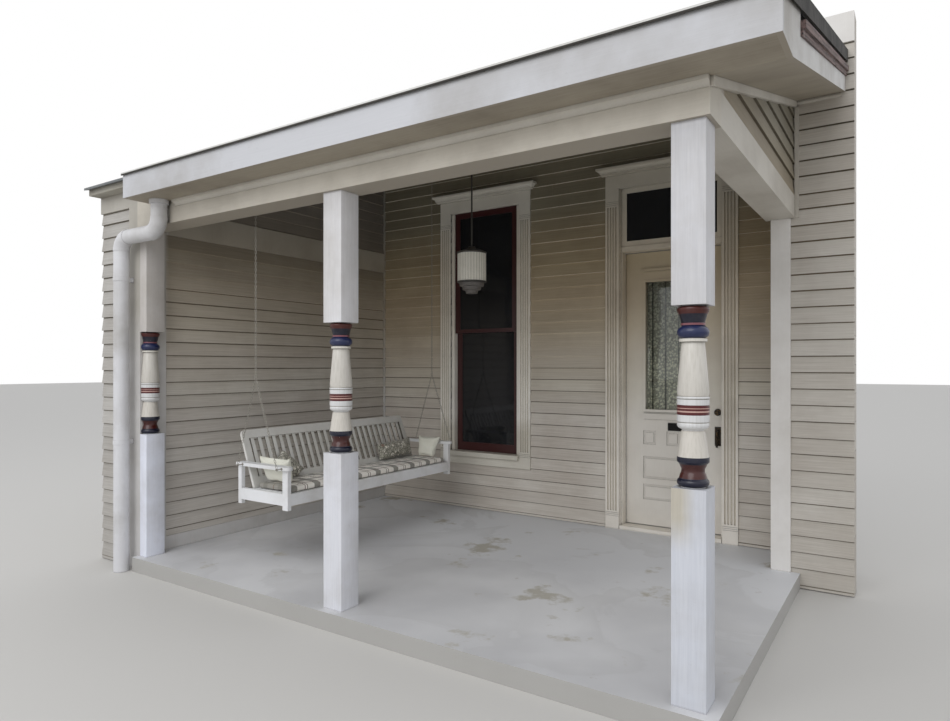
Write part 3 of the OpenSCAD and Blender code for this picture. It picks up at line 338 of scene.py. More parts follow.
def brushed_paint(name, fresh, grimy, along, board=0.12, roughness=0.5, grime=0.35, streak=0.15,
                  corners="5b5348", reach=0.022, under=None, yellowed_and_shaded=0.0, tilt=0.0, grain_width=0.004):
    """Oil paint brushed on wood: streaks along the grain, faded tone from board to board, grime in soft
    clouds and painted shade in the corners. along is the direction of the boards, and tilt turns it with the
    roof."""
    material, surface, at = new_material(name)
    # brush marks and raised grain are a few mm apart and run for two hands' breadth
    stretch = [0.2 if axis == along else grain_width for axis in "xyz"]
    level = add("VectorRotate", {"Vector": at, "Angle": -tilt}, rotation_type="X_AXIS")
    grain = grained(level.outputs[0], stretch, 3, 0.6)
    dirt_and_shadow = ramp(noise(at, board * 4, 6, 0.6), (0.42, 0), (0.80, grime * 2))
    tone = mix(dirt_and_shadow, fresh, grimy)
    tone = mix(ramp(noise(at, 0.02, 5, 0.7), (0.62, 0), (0.80, grime)), tone, grimy)
    tone = mix(streak, tone, grain, "SOFT_LIGHT")
    if under:
        tone = mix(maths("LESS_THAN", facing(at, "Z"), -0.5), tone, under)
    # painted shade darkens where boards meet at a corner, as far as reach
    open_sky = add("AmbientOcclusion", {"Distance": reach}, surface, samples=4).outputs["AO"]
    tone = mix(ramp(open_sky, (0.25, 0.75), (0.62, 0)), tone, corners)
    if yellowed_and_shaded:
        tone = aged_and_shaded(at, tone, yellowed_and_shaded)
    dress(surface, tone, roughness, (grain, 0.18, 0.0008))
    return material


def painted_over(paint, name, colour, blend="MULTIPLY", **spans):
    """A copy of a paint that turns to another colour over a span, in metres along x, y or z, or over
    the slant of its faces along nx, ny or nz. z_ is a second span along z."""
    copy = paint.copy()
    copy.name = name
    painted = copy.node_tree.nodes["Principled BSDF"].inputs["Base Color"]
    at = add("TexCoord", near=painted).outputs["Object"]
    share = 1.0
    for axis, (start, end) in spans.items():
        way = axis.strip("n_").upper()
        value = facing(at, way) if axis[0] == "n" else part(at, way)
        share = maths("MULTIPLY", share, span(value, start, end))
    copy.node_tree.links.new(mix(share, painted.links[0].from_socket, colour, blend), painted)
    return copy


# the bands' heights as shares of the turning, from its foot: what each is painted. The upper bulb's blue,
# from 0.817, is lighter than the other blues, a painted highlight.
BANDS = ((0.000, "d6d8dc"), (0.002, "080d26"), (0.050, "40110d"), (0.127, "080d26"), (0.165, "cfcac1"),
         (0.312, "d8d8d8"), (0.353, "8b867c"), (0.3575, "d8d8d8"), (0.398, "521316"),
         (0.414, "c4a297"), (0.418, "521316"), (0.430, "c4a297"), (0.434, "521316"),
         (0.451, "d8d8d8"), (0.484, "8b867c"), (0.488, "d8d8d8"), (0.500, "8b867c"),
         (0.503, "cfcbc3"), (0.795, "79746b"), (0.799, "d3cfc6"), (0.817, "1f2950"),
         (0.890, "7b484f"), (0.901, "090c22"), (0.950, "49150e"), (0.994, "d6d8dc"))
turning_paint, surface, at = new_material("banded_gloss_paint_on_turned_pine")
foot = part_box("corner_post")[0].z + FOOT_BLOCK
share = span(part(at, "Z"), foot, foot + TURNING)
# dust on the paint and a few chips down to the white undercoat, 3 to 8 mm across
dust = noise(at, 0.035, 5, 0.65)
tone = mix(ramp(dust, (0.45, 0), (0.75, 0.05)), ramp(share, *BANDS, steps=True),
           "a99c9a")
chips = ramp(noise(at, 0.012, 4, 0.7), (0.72, 0), (0.74, 1))
tone = mix(chips, tone, "c9c4bb")
# brush lines of grime down the turning, 8 mm apart
upright = add("Mapping", {"Vector": at, "Scale": (1, 1, 0.04)}).outputs[0]
grimed = ramp(noise(upright, 0.008, 4, 0.6), (0.30, (0.87, 0.865, 0.85, 1)), (0.54, 1))
tone = mix(1.0, tone, grimed, "MULTIPLY")
dress(surface, tone, 0.3, (dust, 0.15, 0.001), Specular_IOR_Level=0.4, Coat_Weight=0.22,
      Coat_Roughness=0.12)

# each post's own white, the half post's the lightest as painted light, and how its upper block is darkened
# under the eave as painted shade, most on the half post beside the downspout
POST_WHITES_LIT_AND_SHADED = {"corner_post": ("cfd2da", "fffcf8"), "middle_post": ("dddee4", "fffdf9"),
               "half_post": ("e6e9f4", "ddd5c7")}
for node, (fresh, shaded_white) in POST_WHITES_LIT_AND_SHADED.items():
    low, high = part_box(node)
    half = POST_W / 2
    axis_x = low.x + (high.x - low.x) / 2 if node != "half_post" else high.x - half
    post = bmesh.new()
    for z0, z1 in ((low.z, low.z + FOOT_BLOCK), (low.z + FOOT_BLOCK + TURNING, high.z)):
        block(post, (axis_x - half, -half, z0), (axis_x + half, half, z1))
    upright = [e for e in post.edges if abs(e.verts[0].co.z - e.verts[1].co.z) > 0.1]
    bmesh.ops.bevel(post, geom=upright, offset=0.003, segments=2, affect="EDGES", profile=0.5)
    squares = set(post.faces)
    rows = [[post.verts.new((axis_x + x, y, low.z + FOOT_BLOCK + z)) for x, y in circle(r, 72)]
            for r, z in turning_profile(POST_R, TURNING)]
    skin(post, rows, smooth=True)
    post.faces.new(rows[0][::-1])
    post.faces.new(rows[-1])
    for face in set(post.faces) - squares:
        face.material_index = 1
    if node == "half_post":
        cut(post, (low.x, 0, 0), (-1, 0, 0))
    # bevel and cut leave the faces in an order that differs from run to run, so they are sorted by
    # height, then depth, then width
    post.faces.sort(key=lambda face: face.calc_center_median().dot((1, 50, 3000)))
    white_paint = brushed_paint("weathered_and_lit_white_paint_on_" + node, fresh, "a8a39b", "z", grime=0.3,
                                streak=0.32, grain_width=0.008)
    white_paint = painted_over(white_paint, "shaded_white_paint_on_" + node, shaded_white, z=(1.39, 1.41))
    if node == "corner_post":
        # an ochre stain has run down one side of its front
        white_paint = painted_over(white_paint, "stained_white_paint_on_corner_post", "f0e6cf",
                                   z=(0.72, 0.86), z_=(1.1, 1.0), x=(0.03, -0.03), ny=(-0.4, -0.6))
    piece("painted_" + node, post, [white_paint, turning_paint], "porch", [node])

# BEAMS AND THEIR MOULDINGS
# Boxed beams of planed boards nailed round the structural timbers, painted the trim colour,
# with a cove in the corner under the eave.
coat(brushed_paint("trim_paint_boards_along_the_front", "cac4b8", "938b7e", "x", grime=0.32,
                   under="a79f92"), "front_beam")
coat(brushed_paint("trim_paint_boards_into_the_house", "c7c2b8", "968e82", "y", grime=0.32),
     "side_beam", "soffit_mouldings")

# EAVE AND RAKE
# Fascia board, soffit boards and a rake board with a brown moulding over it, all painted pine,
# chalky and streaked where the gutterless edge drips.
ROOF_PITCH = math.radians(15.96)
coat(brushed_paint("chalky_fascia_paint", "c6c7cb", "8e887f", "x", grime=0.3, roughness=0.6,
                   under="9b9284"), "front_fascia")
coat(brushed_paint("chalky_rake_paint", "c9c8c6", "8a8278", "y", grime=0.4, roughness=0.6,
                   under="9b9284", tilt=ROOF_PITCH), "rake_board")
# the moulding's paint has worn off along the grain in lines 4 to 8 mm apart
brown_paint, surface, at = new_material("worn_brown_paint_on_moulding")
level = add("VectorRotate", {"Vector": at, "Angle": -ROOF_PITCH}, rotation_type="X_AXIS")
grain = grained(level.outputs[0], (0.008, 0.4, 0.008), 4, 0.7)
tone = mix(ramp(grain, (0.36, 0), (0.60, 1)), "2c2423", "7d6763")
blots = ramp(noise(at, 0.05, 4, 0.6), (0.50, 0), (0.75, 0.6))
dress(surface, mix(blots, tone, "93827e"), 0.75, (grain, 0.5, 0.002))
coat(brown_paint, "rake_moulding")
coat(brushed_paint("soffit_paint", "9e9585", "766d5f", "x", grime=0.4, roughness=0.6, streak=0.3,
                   grain_width=0.01), "soffit")

# RAFTERS, ROOF BOARDS AND CEILING
# Sawn rafters with boards nailed over them, both left bare, and under them a ceiling of narrow boards that
# follows the slope of the roof, its paint a dull brown grey darkened as painted shade.
CEILING_BOARD = 0.083
CEILING_GAP = 0.004
CEILING_T = 0.015

bare_pine = brushed_paint("sawn_pine_left_bare", "b49468", "7d6544", "y", grime=0.4, roughness=0.8,
                          streak=0.4)
coat(bare_pine, "rafters")
# the roof boards' outer ends over the rake moulding are near black, a painted shadow
coat(painted_over(bare_pine, "roof_boards_with_painted_shadow_on_their_ends", "1d1916", "MIX", x=(0.30, 0.34)),
     "roof_deck")
shaded_ceiling_paint = brushed_paint("ceiling_paint_darkened_by_painted_shade", "6a6353", "4f493c", "x", grime=0.4, roughness=0.7)
ceiling_low, ceiling_high = low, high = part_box("ceiling")
rise = (high.z - CEILING_T - low.z) / (high.y - low.y)
boards = bmesh.new()
count = round((high.y - low.y) / CEILING_BOARD)
step = (high.y - low.y) / count
for i in range(count):
    y0, y1 = low.y + i * step, low.y + (i + 1) * step - CEILING_GAP
    z0, z1 = low.z + (y0 - low.y) * rise, low.z + (y1 - low.y) * rise
    up = CEILING_T - 0.0005
    prism(boards, *[[(x, y0, z0), (x, y1, z1), (x, y1, z1 + up), (x, y0, z0 + up)]
                    for x in (low.x, high.x)])
piece("ceiling_boards", boards, shaded_ceiling_paint, "porch", ["ceiling"])

# ROOFING
# Grey shingles in courses with 125 mm to the weather, over the roof boards, each course lapped by
# the next and cut into tabs, with a bent metal edge along the rake.
SHINGLE_COURSE = 0.125
SHINGLE_BUTT = 0.017
SHINGLE_HEAD = 0.006
SHINGLE_TAB = 0.305
SHINGLE_SLOT = 0.004
METAL_EDGE = 0.003
shingle, surface, at = new_material("weathered_grey_shingle")
one = add("NewGeometry", near=surface).outputs["Random Per Island"]
tone = mix(noise(at, 0.3, 5), mix(one, "6a6f74", "84888b"), "757672")
tone = mix(0.3, tone, noise(at, 0.004, 2, output="Color"), "SOFT_LIGHT")
dress(surface, tone, 0.85, (noise(at, 0.004, 2), 0.4, 0.001))

roof_low, roof_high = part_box("roofing")
roof_rise = math.tan(ROOF_PITCH)
eave_left, eave_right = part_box("front_fascia")[0].x, roof_high.x - METAL_EDGE
wall_y, wall_back = [corner.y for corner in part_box("porch_wall_left")]
left_low, left_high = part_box("left_wing_wall")
wing_low, wing_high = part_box("right_wing_wall")
front = roof_low.y + 0.0045
wing_front = 0.102


def roof_level(y):
    """The top of the roof boards: the metal edge starts 30 mm under it, at the roofing's lowest
    point."""
    return roof_low.z + 0.030 + roof_rise * (y - roof_low.y)


shingles = bmesh.new()
course = SHINGLE_COURSE * math.cos(ROOF_PITCH)
# the roof's four stretches, as x from, x to, y from, y to; one grid of tabs runs through them all
for x0, x1, y0, y1 in ((eave_left, wing_low.x, front, wall_back),
                       (wing_low.x, eave_right, front, wing_low.y),
                       (roof_low.x, eave_left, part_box("left_eave")[0].y - 0.037, wing_front),
                       (left_high.x - 0.150, eave_left, wing_front, wall_back)):
    for k in range(math.floor((y0 - front) / course), math.ceil((y1 - front) / course)):
        foot = front + k * course
        low, high = max(foot, y0), min(foot + course, y1)
        shift = 0.5 * (k % 2)
        for t in range(math.floor((x0 - eave_left) / SHINGLE_TAB - shift),
                       math.ceil((x1 - eave_left) / SHINGLE_TAB - shift)):
            left = eave_left + (t + shift) * SHINGLE_TAB
            a, b = max(left, x0), min(left + SHINGLE_TAB - SHINGLE_SLOT, x1)
            if min(b - a, high - low) < SHINGLE_SLOT:
                continue
            butt = SHINGLE_BUTT - random.Random(1000 * k + t).uniform(0, 0.0012)
            outline = [(y, butt + (SHINGLE_BUTT - SHINGLE_HEAD - butt) * (y - foot) / course)
                       for y in (high, low)]
            prism(shingles, *[[(x, y, roof_level(y) + up) for y, up in ((low, 0.0), (high, 0.0), *outline)]
                              for x in (a, b)])
piece("roof_shingles", shingles, shingle, "porch", ["roofing"], outward=True)

# the rake's metal edge is near black, its dark metal deepened by painted shade
shaded_edge_metal = brushed_paint("weathered_metal_edge_darkened_by_painted_shade", "1c1a19", "55524f", "y", board=0.03, grime=0.45,
                           roughness=0.85, streak=0.4, tilt=ROOF_PITCH)
edge = bmesh.new()
prism(edge, *[[(x, y, roof_level(y) + up) for y, up in (
    (roof_low.y, -0.030), (wing_low.y, -0.030), (wing_low.y, 0.047), (roof_low.y, 0.047))]
    for x in (eave_right, roof_high.x)])
piece("rake_metal_edge", edge, shaded_edge_metal, "porch", ["roofing"], outward=True)

# along the eave a pale drip strip caps the first course, and under it a dark strip is the gap's painted
# shadow
drip_paint = brushed_paint("chalky_white_drip_edge", "d3d3d0", "a5a19a", "x", grime=0.4)
gap_shadow = brushed_paint("painted_shadow_in_the_gap_under_the_drip_edge", "3b3833", "24211e", "x", grime=0.5,
                         roughness=0.9)
for name, paint, foot, head in (("eave_drip_strip", drip_paint, 0.009, SHINGLE_BUTT),
                                ("eave_gap_painted_shadow", gap_shadow, 0.0, 0.009)):
    strip = bmesh.new()
    eave = roof_level(roof_low.y)
    block(strip, (eave_left, roof_low.y, eave + foot), (eave_right, roof_low.y + 0.004, eave + head))
    piece(name, strip, paint, "porch", ["roofing"])

# HOUSE WALLS
# Sheathed walls with sawn clapboards, each lapping the one under it and nailed through, painted
# a warm grey that has faded unevenly. The boards die against casings and corner boards.
BUTT = 0.015
TIP = 0.002
# how tall the painted shadow under each lap is
LAP_SHADOW = 0.007
BOARD_ENDS = 0.0015


def siding_paint(name, dark, light, faded_to, yellowed_and_shaded=0.0, film_and_shade=FILM_AND_SHADE):
    """Oil paint on clapboards: each board a shade of its own, faded in clouds."""
    material, surface, at = new_material(name)
    one = add("NewGeometry", near=surface).outputs["Random Per Island"]
    faded = ramp(noise(at, 0.6, 6, 0.6), (0.40, 0), (0.85, 1))
    grain = grained(at, (0.35, 0.35, 0.006), 3, 0.6)
    tone = mix(faded, mix(one, dark, light), faded_to)
    tone = mix(0.55, tone, grain, "SOFT_LIGHT")
    if yellowed_and_shaded:
        tone = aged_and_shaded(at, tone, yellowed_and_shaded, film_and_shade)
    dress(surface, tone, 0.6, (grain, 0.2, 0.0008))
    return material


# the left wall stands nearer the light, so its film and painted shade are lighter, but at its top the painted
# shade is near black
SIDE_FILM_AND_SHADE = ((1.04, "ffffff"), (1.30, "fdfdfa"), (1.57, "faf7f1"), (1.83, "f4efe4"), (2.10, "ece5d8"),
             (2.37, "c4bdae"), (2.55, "b0aba2"), (2.90, "a3a09d"))
# the back, side and recess paints take the porch's yellowed film and painted shade
back_paint = siding_paint("yellowed_and_shaded_oil_paint_on_back_clapboards", "cbc4ba", "d7d1c7", "b8aea2", 1.0)
side_paint = siding_paint("yellowed_and_shaded_oil_paint_on_side_clapboards", "c2bcb4", "cec9c1", "b0a89e", 1.0,
                          SIDE_FILM_AND_SHADE)
# the recess and the gable take a darker paint, a painted shade
shaded_recess_paint = siding_paint("yellowed_and_shaded_oil_paint_on_recess_clapboards", "b2aba2", "bdb7ad", "a0978b", 0.85)
weather_paint = siding_paint("faded_oil_paint_on_clapboards", "beb8ae", "c9c4bb", "aca398")
wing_paint = siding_paint("greyed_oil_paint_on_left_clapboards", "aeaba6", "b9b6b1", "9f9991")


def mottled(name, one, other, size, detail, roughness, cloudy=0.5, aged_and_shaded_by=0.0, metallic=0.0):
    """A finish that wavers between two colours in blotches about size metres across."""
    material, surface, at = new_material(name)
    tone = mix(noise(at, size, detail, cloudy), one, other)
    if aged_and_shaded_by:
        tone = aged_and_shaded(at, tone, aged_and_shaded_by)
    dress(surface, tone, roughness, Metallic=metallic)
    return material


# a painted shadow under each lap, on the strip under the next butt and on the butt's underside
lap_shadow_paint = mottled("painted_shadow_under_the_laps", "635d52", "928a7e", 0.09, 5, 0.8, 0.6, aged_and_shaded_by=0.8)
# painted highlight: the butts' undersides are near white, as if lit from below, and above 2 m dimmed by
# painted shade
lap_highlight = mottled("painted_highlight_on_the_butts", "e6dccb", "fff8ec", 0.09, 5, 0.8, 0.6)
lap_dim_highlight = painted_over(lap_highlight, "painted_highlight_dimmed_on_the_side_butts", "d5cfc4", z=(2.0, 2.1))
lap_shaded_highlight = painted_over(lap_highlight, "painted_highlight_shaded_over_the_frieze", "aba69c", z=(2.0, 2.1))


def courses(low, first, step, high):
    """The levels of the laps on a wall, from its lowest edge up to its highest."""
    laps = [low]
    while first < high - 0.012:
        if first > low + 0.012:
            laps.append(first)
        first += step
    return laps + [high]


def clapboards(name, paint, corner, along, out, length, laps, holes=(), top=None, seed=1,
               shadowed_under=9.0, dirt_and_shadow=LAP_SHADOW, butt_highlight=lap_highlight):
    """Lapped boards on one wall. corner is a point on the wall, along and out are directions, laps are the
    levels, holes are (from, to, low, high) and top is a plane that cuts them. Laps that end under a given
    height take a painted shadow, as tall as given, on the strip under the next butt and on their own butt's
    underside; over that height the underside takes a painted highlight."""
    dice = random.Random(seed)
    corner, along, out = Vector(corner), Vector(along), Vector(out)
    boards = bmesh.new()
    full = max(b - a for a, b in zip(laps, laps[1:]))
    for z, z_top in zip(laps, laps[1:]):
        runs = [(0.0, length)]
        for a, b, bottom, head in holes:
            if bottom < (z + z_top) / 2 < head:
                runs = [r for s, e in runs for r in ((s, min(e, a)), (max(s, b), e)) if r[1] - r[0] > 0.004]
        for s, e in runs:
            joints = [s]
            while e - joints[-1] > 2.6:
                joints.append(joints[-1] + dice.uniform(1.3, 2.6))
            joints.append(e)
            for a, b in zip(joints, joints[1:]):
                butt = BUTT + dice.uniform(-0.0015, 0.001)
                bottom = z + dice.uniform(-0.0012, 0.0012)
                tip = TIP + (BUTT - TIP) * (1 - (z_top - z) / full)
                shadowed = dirt_and_shadow * (z_top < shadowed_under)
                share = shadowed / (z_top - z)
                section = ((0.0, z), (butt, bottom), (tip + (butt - tip) * share, z_top - shadowed - 0.0005),
                           (tip, z_top), (0.0, z_top))
                sides = prism(boards, *[[corner + along * t + out * o + Vector((0, 0, h)) for o, h in section]
                                        for t in (a, b - (BOARD_ENDS if b < e else 0))])
                # the strip under the next butt and the underside take the painted shadow, or the underside
                # takes the painted highlight
                for side, slot in ((0, 1), (2, 1)) if shadowed else ((0, 2),):
                    sides[side].material_index = slot
    if top:
        cut(boards, *top)
    piece(name, boards, [paint, lap_shadow_paint, butt_highlight], "porch", sharp=0, outward=True)


# behind the clapboards the walls are sheathed in flush boards 185 mm wide and about 2.4 m long,
# nailed level and painted like the siding, with joints 3 mm wide
SHEATHING = 0.185
SHEATHING_L = 2.4
JOINT = 0.003
sheathing, surface, at = new_material("warm_grey_paint_on_flush_sheathing_boards")
level = maths("MULTIPLY", part(at, "Z"), 1 / SHEATHING)
row = maths("FLOOR", level)
shift = add("TexWhiteNoise", {"W": row}, noise_dimensions="1D").outputs["Value"]
length = maths("ADD", part(at, "X"), part(at, "Y"))
length = maths("MULTIPLY_ADD", length, 1 / SHEATHING_L, shift)
board = maths("MULTIPLY_ADD", row, 17.0, maths("FLOOR", length))
shade = add("TexWhiteNoise", {"W": board}, noise_dimensions="1D").outputs["Value"]
grain = grained(at, (0.35, 0.35, 0.007), 4, 0.6)
soil = ramp(noise(at, 0.7, 6, 0.6), (0.45, 0), (0.80, 0.6))
tone = mix(soil, mix(shade, "b7b0a6", "cac5bc"), "9d958a")
tone = mix(0.4, tone, grain, "SOFT_LIGHT")
split = maths("LESS_THAN", maths("FRACT", level), JOINT / SHEATHING)
butt_end = maths("LESS_THAN", maths("FRACT", length), JOINT / SHEATHING_L)
gaps = maths("MULTIPLY", maths("MAXIMUM", split, butt_end), 0.8)
dress(surface, mix(gaps, tone, "4c463d"), 0.65, (grain, 0.25, 0.0008))
coat(sheathing, "porch_wall_left", "porch_wall_right", "porch_wall_over_door", "left_wing_wall",
     "right_wing_wall", "gable_wall")

RIGHT, LEFT, BACK, FRONT = (1, 0, 0), (-1, 0, 0), (0, 1, 0), (0, -1, 0)
BACK_STEP = 0.1022
SIDE_STEP = 0.10025
WING_STEP = 0.108
FRIEZE = (2.454, 2.656)
SIDE_START = 0.13
CORNER_BOARD = 0.122
CORNER_BEAD = 0.025
SLIM_TRIM = 0.0854
floor_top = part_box("floor_slab")[1].z
left_x = left_high.x
back_laps = courses(floor_top + 0.004, 0.1286, BACK_STEP, ceiling_high.z)
slope_out = Vector((0, -rise, 1)).normalized()
under_ceiling = ((0, ceiling_low.y, ceiling_low.z - 0.002), slope_out)
door_low, door_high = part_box("door_frame")
window_low, window_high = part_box("window_frame_boards")
clapboards("back_wall_clapboards", back_paint, (left_x, wall_y, 0), RIGHT, FRONT, wing_low.x - left_x,
           back_laps, [(door_low.x - left_x, door_high.x - left_x, 0, door_high.z),
                       (window_low.x - left_x, window_high.x - left_x, window_low.z + 0.02, window_high.z)],
           top=under_ceiling, seed=3, shadowed_under=1.55)
side = (side_paint, (left_x, SIDE_START, 0), BACK, RIGHT, wall_y - SIDE_START - CORNER_BEAD)
clapboards("left_wall_clapboards", *side, courses(floor_top + 0.1, 0.2505, SIDE_STEP, FRIEZE[0]),
           seed=5, shadowed_under=2.1, butt_highlight=lap_dim_highlight)
clapboards("left_wall_clapboards_over_frieze", *side,
           courses(FRIEZE[1], 2.7566, SIDE_STEP, ceiling_high.z), top=under_ceiling, seed=6,
           shadowed_under=0.0, butt_highlight=lap_shaded_highlight)
clapboards("recess_clapboards", shaded_recess_paint, (wing_low.x, wing_low.y + SLIM_TRIM, 0), BACK, LEFT,
           wall_y - wing_low.y - SLIM_TRIM, back_laps, top=under_ceiling, seed=7, shadowed_under=1.75)
board_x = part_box("right_trim_boards")[0].x
clapboards("right_wing_clapboards", weather_paint, (board_x + CORNER_BOARD, wing_low.y, 0), RIGHT, FRONT,
           wing_high.x - board_x - CORNER_BOARD, courses(0.004, 0.027, WING_STEP, 2.607), seed=8)
clapboards("right_wing_clapboards_over_beam", weather_paint, (0.1155, wing_low.y, 0), RIGHT, FRONT,
           wing_high.x - 0.1155,
           courses(2.607, 2.619, WING_STEP, 2.727) + courses(2.727, 2.829, 0.102, 3.539)[1:], seed=9)
gable_low, gable_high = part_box("gable_wall")
clapboards("gable_clapboards", shaded_recess_paint, (gable_high.x, gable_low.y, 0), BACK, RIGHT,
           gable_high.y - gable_low.y, courses(gable_low.z, 2.711, 0.103, gable_high.z),
           top=((0, gable_low.y, gable_low.z + 0.0515 - 0.040), slope_out), seed=10, dirt_and_shadow=0.002)
clapboards("left_wing_clapboards", wing_paint, (left_low.x, left_low.y, 0), RIGHT, FRONT,
           left_x - CORNER_BOARD - left_low.x, courses(0.004, 0.030, 0.1007, 2.631), seed=11)

# CORNER BOARDS, FRIEZES AND BELT BOARD
# Plain boards that the clapboards die against, nailed over the sheathing at every corner. Under the porch the
# left boards' paint takes the yellowed film and painted shade, and beside the downspout the corner board is
# darkened further over head height, a painted shade.
upright_paint = brushed_paint("trim_paint_upright_boards", "cccac8", "9b958c", "z", grime=0.3,
                              yellowed_and_shaded=0.7)
coat(painted_over(upright_paint, "trim_paint_with_painted_shade_beside_the_downspout", "dfdcd3", z=(1.5, 1.9),
                  y=(0.14, 0.12)), "left_trim_boards")
coat(brushed_paint("fresher_trim_paint_by_the_steps", "e6e3df", "aea79b", "z", grime=0.22),
     "right_trim_boards")
coat(brushed_paint("stained_eave_paint", "a8a499", "6e685c", "x", grime=0.6, roughness=0.7), "left_eave")

# DOOR AND WINDOW CASINGS
# Fluted pine casings with a crowned head, painted the trim colour, lighter by the window. Painted shade lies
# in the flutes and in the corners, and the porch's yellowed film and painted shade lie over them.


def shaded_flutes(paint, colour, *names):
    """A paint with painted shade on the faces that look to either side, where flutes are cut."""
    for name, side in zip(names, (1, -1)):
        paint = painted_over(paint, name, colour, nx=(0.12 * side, 0.40 * side), ny=(-0.2, -0.4))
    return paint


casing_paint = brushed_paint("trim_paint_on_fluted_casings", "f2ece2", "aea596", "z", grime=0.26,
                             yellowed_and_shaded=0.55, corners="4a443a", reach=0.03)
coat(casing_paint, "door_frame")
coat(shaded_flutes(casing_paint, "cfc8ba", "trim_paint_with_painted_shade_in_the_flutes",
                  "trim_paint_with_painted_shade_in_the_door_flutes"), "door_casing")
lighter_casing = brushed_paint("lighter_trim_paint_by_the_window", "fcf9f2", "b9b1a3", "z", grime=0.2,
                               yellowed_and_shaded=0.4, corners="4a443a", reach=0.03)
# the window's paint turns darker from 1 m down to 0.86 m, about the sill
lighter_casing = painted_over(lighter_casing, "trim_paint_darker_about_the_sill", "dedcd6",
                              z=(1.0, 0.86))
coat(lighter_casing, "window_frame_boards")
coat(shaded_flutes(lighter_casing, "ded8cc", "lighter_trim_paint_with_painted_shade_in_the_flutes",
                  "trim_paint_with_painted_shade_in_the_window_flutes"), "window_casing")

# DOOR
# A panelled pine door painted a pale greige, with a tall pane, a lace curtain behind it and dark
# bronze fittings. The mail slot is black.
INNER_BEAD = 0.008
PANEL_MOULDING = ((0.0, 0.0), (0.0, 0.004), (0.004, 0.0065), (0.010, 0.006), (0.015, 0.002), (0.015, 0.0))
# the door's paint takes painted shade in its corners and the porch's yellowed film and painted shade
door_paint = brushed_paint("satin_door_paint", "e6e1d8", "b3aa9c", "z", grime=0.18, roughness=0.42,
                           yellowed_and_shaded=0.95, corners="40392f", reach=0.03)
coat(door_paint, "door_leaf")

# the leaf's room side has the same five panels, each in a small moulding mitred at its corners;
# the panels are x from, x to, z from, z to off the middle of the pane's foot
pane_low, pane_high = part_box("door_glass")
pane_x = (pane_low.x + pane_high.x) / 2
leaf_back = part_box("door_leaf")[1].y - INNER_BEAD
mouldings = bmesh.new()
for x0, x1, z0, z1 in ((-0.250, -0.144, -0.294, -0.179), (-0.053, 0.053, -0.294, -0.179),
                       (0.144, 0.250, -0.294, -0.179), (-0.250, 0.250, -0.580, -0.395),
                       (-0.250, 0.250, -0.757, -0.629)):
    rows = [[mouldings.verts.new((pane_x + x, leaf_back + out, pane_low.z + z)) for x, z in (
        (x0 + into, z0 + into), (x1 - into, z0 + into), (x1 - into, z1 - into), (x0 + into, z1 - into))]
        for into, out in PANEL_MOULDING]
    skin(mouldings, rows + rows[:1])
piece("door_inner_mouldings", mouldings, door_paint, "door", outward=True)

# old cylinder glass has slow waves about 90 mm apart. The window's glass is painted dark, a painted shade
# that stands for the room behind it.
glass, surface, at = new_material("dark_glass_standing_for_the_shaded_room")
dress(surface, mix(noise(at, 0.25, 3), "101216", "24262a"), 0.06,
      (noise(at, 0.09, 1), 0.15, 0.004), Specular_IOR_Level=0.6)
coat(glass, "window_glass")
clear, surface, at = new_material("clear_sheet_glass_with_slow_waves")
dress(surface, "e8eee9", 0.02, (noise(at, 0.09, 1), 0.1, 0.002), Transmission_Weight=1.0)
coat(clear, "door_glass")


def cells(at, size, to="F1"):
    """The distance to the middles, or to the edges, of cells about size metres across."""
    return add("TexVoronoi", {"Vector": at, "Scale": 1 / size}, feature=to).outputs["Distance"]


def stripes(value, pitch, *stops):
    """Bands that repeat with the pitch along a length; each stop is (share, how dark)."""
    turns = maths("FRACT", maths("MULTIPLY", value, 1 / pitch))
    return ramp(turns, *stops, steps=True)


# the lace hangs from its rod in shallow folds about 42 mm apart; the room behind is painted into its gaps as
# dark painted shade
LACE_FOLD = 0.042
lace_low, lace_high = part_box("lace_curtain")
lace, surface, at = new_material("cotton_lace_with_painted_shade_of_the_room")
place = mix(0.02, at, noise(at, 0.05, 2, output="Color"))
motif = ramp(cells(place, 0.020), (0.42, 1), (0.50, 0))
threads = ramp(cells(at, 0.006, "DISTANCE_TO_EDGE"), (0.10, 0.6), (0.25, 0.16))
tone = mix(1.0, motif, threads, "LIGHTEN")
# the hem's side is turned back in a dark strip, and a seam runs up every 0.11 m
tone = mix(1.0, tone, stripes(part(at, "X"), 0.11, (0.0, 0.12), (0.12, 1)), "MULTIPLY")
# painted light: its lower part is lighter, as if daylight fell on it
lit = ramp(span(part(at, "Z"), lace_low.z, lace_high.z), (0.0, 1), (0.35, 1),
           (0.7, 0.7), (1.0, 0.52))
dress(surface, mix(mix(1.0, tone, lit, "MULTIPLY"), "1f1e1a", "fbf3e2"), 0.9)
curtain = bmesh.new()
middle = (lace_low.y + lace_high.y) / 2
depth = (lace_high.y - lace_low.y) / 2 - 0.0005
count = round((lace_high.x - lace_low.x) / LACE_FOLD * 12)
line = []
for i in range(count + 1):
    x = lace_low.x + (lace_high.x - lace_low.x) * i / count
    line.append((x, middle + depth * math.sin(2 * math.pi * (x - lace_low.x) / LACE_FOLD)))
columns = [[curtain.verts.new((x, y, lace_low.z + (lace_high.z - lace_low.z) * k / 12)) for k in range(13)]
           for x, y in line]
for a, b in zip(columns, columns[1:]):
    for k in range(12):
        curtain.faces.new((a[k], b[k], b[k + 1], a[k + 1])).smooth = True
hung = piece("door_lace", curtain, lace, "door", ["lace_curtain"], sharp=0)

